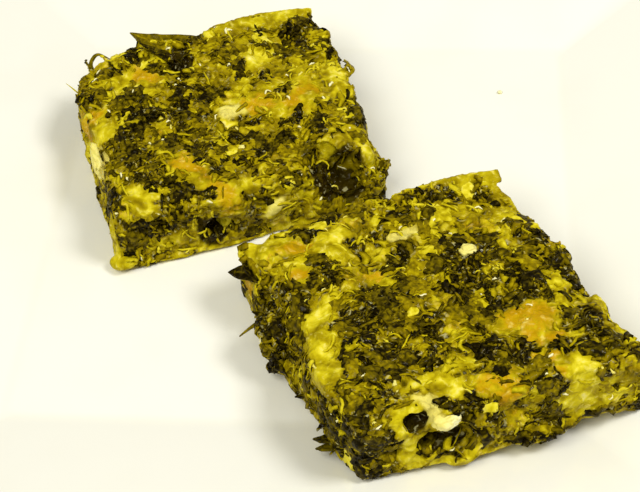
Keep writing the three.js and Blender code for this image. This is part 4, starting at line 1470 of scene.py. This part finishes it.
FRONT_LEAVES = (
    Leaf(((-28.6, 21.6, 12.4), (-31.1, 24.1, 12), (-33.6, 26.8, 10.4)), 3.4, -0.5, 0.04, 0.3),
    Leaf(((-28.7, 19.9, 9.6), (-29.7, 23.2, 11.6), (-30.2, 27.1, 12.8)), 4.4, 1.0, 0.04, 0.4),
    Leaf(((-29.6, 13, 8.5), (-31.1, 14.6, 8.8), (-32.2, 15.9, 9)), 1.6, 0.4, 0.04, 0.2),
    Leaf(((-29.6, 13.6, 8.2), (-33.2, 13.6, 7.1), (-36.2, 13.4, 5.6)), 1.0, 0.3, 0.36, 0.15),
    Leaf(((-27.2, -5.6, 3.6), (-29.2, -4.9, 3.4), (-31, -4.2, 3.2)), 1.7, 0.3, 0.06, 0.2),
    Leaf(((-26, -18.6, 5), (-29.2, -17, 3.8), (-31.5, -15.3, 2.8)), 3, 0.2, 0.1, 0.3),
    Leaf(((-26, -19.4, 3.8), (-29.2, -18.2, 2.8), (-31.7, -17, 1.8)), 3.4, 0.3, 0.22, 0.3),
    Leaf(((-6.6, -26.4, 11.4), (-3.6, -29.8, 12.6), (-1, -29.6, 15.2)), 3.8, 0.7, 0.08),
    Leaf(((25, -2.4, 14.8), (28, -0.6, 15), (28.6, 3.6, 14.2)), 3.2, 0.5, 0.08),
)

FRONT_BULGES = (
    Bulge((-29.8, 10.6, 8.4), (3.6, 3.4, 3.0)),
    Bulge((-30.2, 7.6, 5.6), (3.4, 3.6, 3.6)),
    Bulge((-29.8, 5.0, 3.4), (2.9, 2.6, 2.8)),
    Bulge((-31.6, 5.9, 1.7), (2.0, 1.5, 1.2)),
    Bulge((9.4, -29.9, 1.7), (7.6, 2.5, 1.7)),
    Bulge((-7.2, -29.3, 0.9), (3.4, 1.7, 1.7)),
)

FRONT_CURDS = (
    Curd((10.9, 7.6, 15.9), (1.6, 1.4, 1.0), 0.25),
    Curd((-10.2, -28, 11.9), (2.4, 1.5, 1.4), 1.0),
    Curd((-16, -19.4, 15.1), (0.6, 1.5, 0.5), 0.2),
)

SQUARES = (
    Square("back_square", "square_back", (-21.8, 18.4), math.radians(20.5), (60, 54), (0, 0),
           ((-30.2, -29.6, -1), (32.2, 28.4, 16.5)), 3, BACK_PATCHES, BACK_LEAVES, BACK_CURDS, BACK_BULGES, 0.31),
    Square("front_square", "square_front", (27.3, -37.3), math.radians(25.1), (55.1, 59.4), (4.46, 3.03),
           ((-30.4, -31.4, -1), (30.6, 30.6, 16.7)), 8, FRONT_PATCHES, FRONT_LEAVES, FRONT_CURDS, FRONT_BULGES, 0.41),
)


@dataclass(frozen=True)
class Crumb:
    """A crumb on the plate: its place in millimetres, its size and how white it is."""

    at: tuple[float, float]
    size: float
    whiteness: float


@dataclass
class Crumbs:
    """The crumbs that lie on the plate."""

    crumbs: tuple[Crumb, ...] = (
        Crumb((42.1, 41.6), 1.1, 1.0), Crumb((32, 77), 1.2, 0.6))

    def build(self) -> bpy.types.Object:
        """Builds the crumbs as one piece."""
        whole = bmesh.new()
        white = whole.verts.layers.float.new("whiteness")
        plate = Plate()
        slope = math.tan(plate.rim_angle)
        for crumb in self.crumbs:
            out = max(0.0, max(abs(value) for value in crumb.at) - plate.well_side / 2)
            ground = WELL_HEIGHT + slope * out
            made = bmesh.ops.create_icosphere(whole, subdivisions=3, radius=crumb.size / 2)["verts"]
            for vert in made:
                vert.co *= 1 + 0.5 * noise.noise(vert.co * 2.4 + Vector((*crumb.at, 0)))
                vert.co.z *= 0.6
                vert.co = (vert.co + Vector((*crumb.at, ground + crumb.size * 0.26))) * MM
                vert[white] = crumb.whiteness
        return placed_piece("crumbs", whole, CurdFinish().dress())


@dataclass
class Studio:
    """The floor, the soft light and the camera."""

    eye: tuple[float, float, float] = (28.3, -220.9, 232.2)
    looks_at: tuple[float, float, float] = (2.55, -9.4, 7.0)
    roll: float = math.radians(-4.1)
    focal_length: float = 80.55
    key_place: tuple[float, float, float] = (530, -60, 730)
    key_side: float = 280.0
    key_power: float = 4.5
    fill_place: tuple[float, float, float] = (-420, -560, 1040)
    fill_side: float = 760.0
    fill_power: float = 9.7
    sky: Colour = (1.0, 0.975, 0.86, 1.0)
    sky_strength: float = 0.33

    def camera(self) -> None:
        """Places the camera."""
        data = bpy.data.cameras.new("camera")
        data.sensor_width = 36
        data.lens = self.focal_length
        data.clip_start = 0.01
        camera = bpy.data.objects.new("camera", data)
        eye, target = Vector(self.eye) * MM, Vector(self.looks_at) * MM
        turned = (target - eye).to_track_quat("-Z", "Y") @ Quaternion((0, 0, 1), self.roll)
        camera.matrix_world = Matrix.Translation(eye) @ turned.to_matrix().to_4x4()
        bpy.context.scene.collection.objects.link(camera)
        bpy.context.scene.camera = camera

    def light(self, name: str, place: tuple[float, float, float], side: float, power: float,
              colour: tuple[float, float, float]) -> None:
        """Places a square soft light that faces the plate.

        Args:
            name: Its name.
            place: Where it hangs, in millimetres.
            side: Its side, in millimetres.
            power: Its power in watts.
            colour: Its colour.
        """
        data = bpy.data.lights.new(name, "AREA")
        data.size = side * MM
        data.energy = power
        data.color = colour
        lamp = bpy.data.objects.new(name, data)
        lamp.location = Vector(place) * MM
        lamp.rotation_euler = (-lamp.location).to_track_quat("-Z", "Y").to_euler()
        bpy.context.scene.collection.objects.link(lamp)

    def floor(self) -> None:
        """Lays the floor."""
        shape = bmesh.new()
        bmesh.ops.create_grid(shape, x_segments=1, y_segments=1, size=1.5)
        mesh = bpy.data.meshes.new("floor")
        shape.to_mesh(mesh)
        shape.free()
        mesh.materials.append(FloorFinish().dress())
        floor = bpy.data.objects.new("floor", mesh)
        bpy.context.scene.collection.objects.link(floor)

    def build(self) -> None:
        """Sets the studio up."""
        self.camera()
        self.floor()
        self.light("key", self.key_place, self.key_side, self.key_power, (1.0, 0.99, 0.985))
        self.light("fill", self.fill_place, self.fill_side, self.fill_power, (1.0, 0.985, 0.9))
        world = bpy.data.worlds.new("studio")
        world.use_nodes = True
        sky = world.node_tree.nodes["Background"]
        sky.inputs["Color"].default_value = self.sky
        sky.inputs["Strength"].default_value = self.sky_strength
        scene = bpy.context.scene
        scene.world = world
        scene.view_settings.view_transform = "Standard"


def main() -> None:
    """Builds the studio, the plate, the squares and the crumbs."""
    logging.basicConfig(level=logging.INFO, format="%(name)s: %(message)s")
    NODES.update(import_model()["nodes"])
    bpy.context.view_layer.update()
    Studio().build()
    Plate().build()
    for square in SQUARES:
        square.build()
    Crumbs().build()


if __name__ == "__main__":
    main()
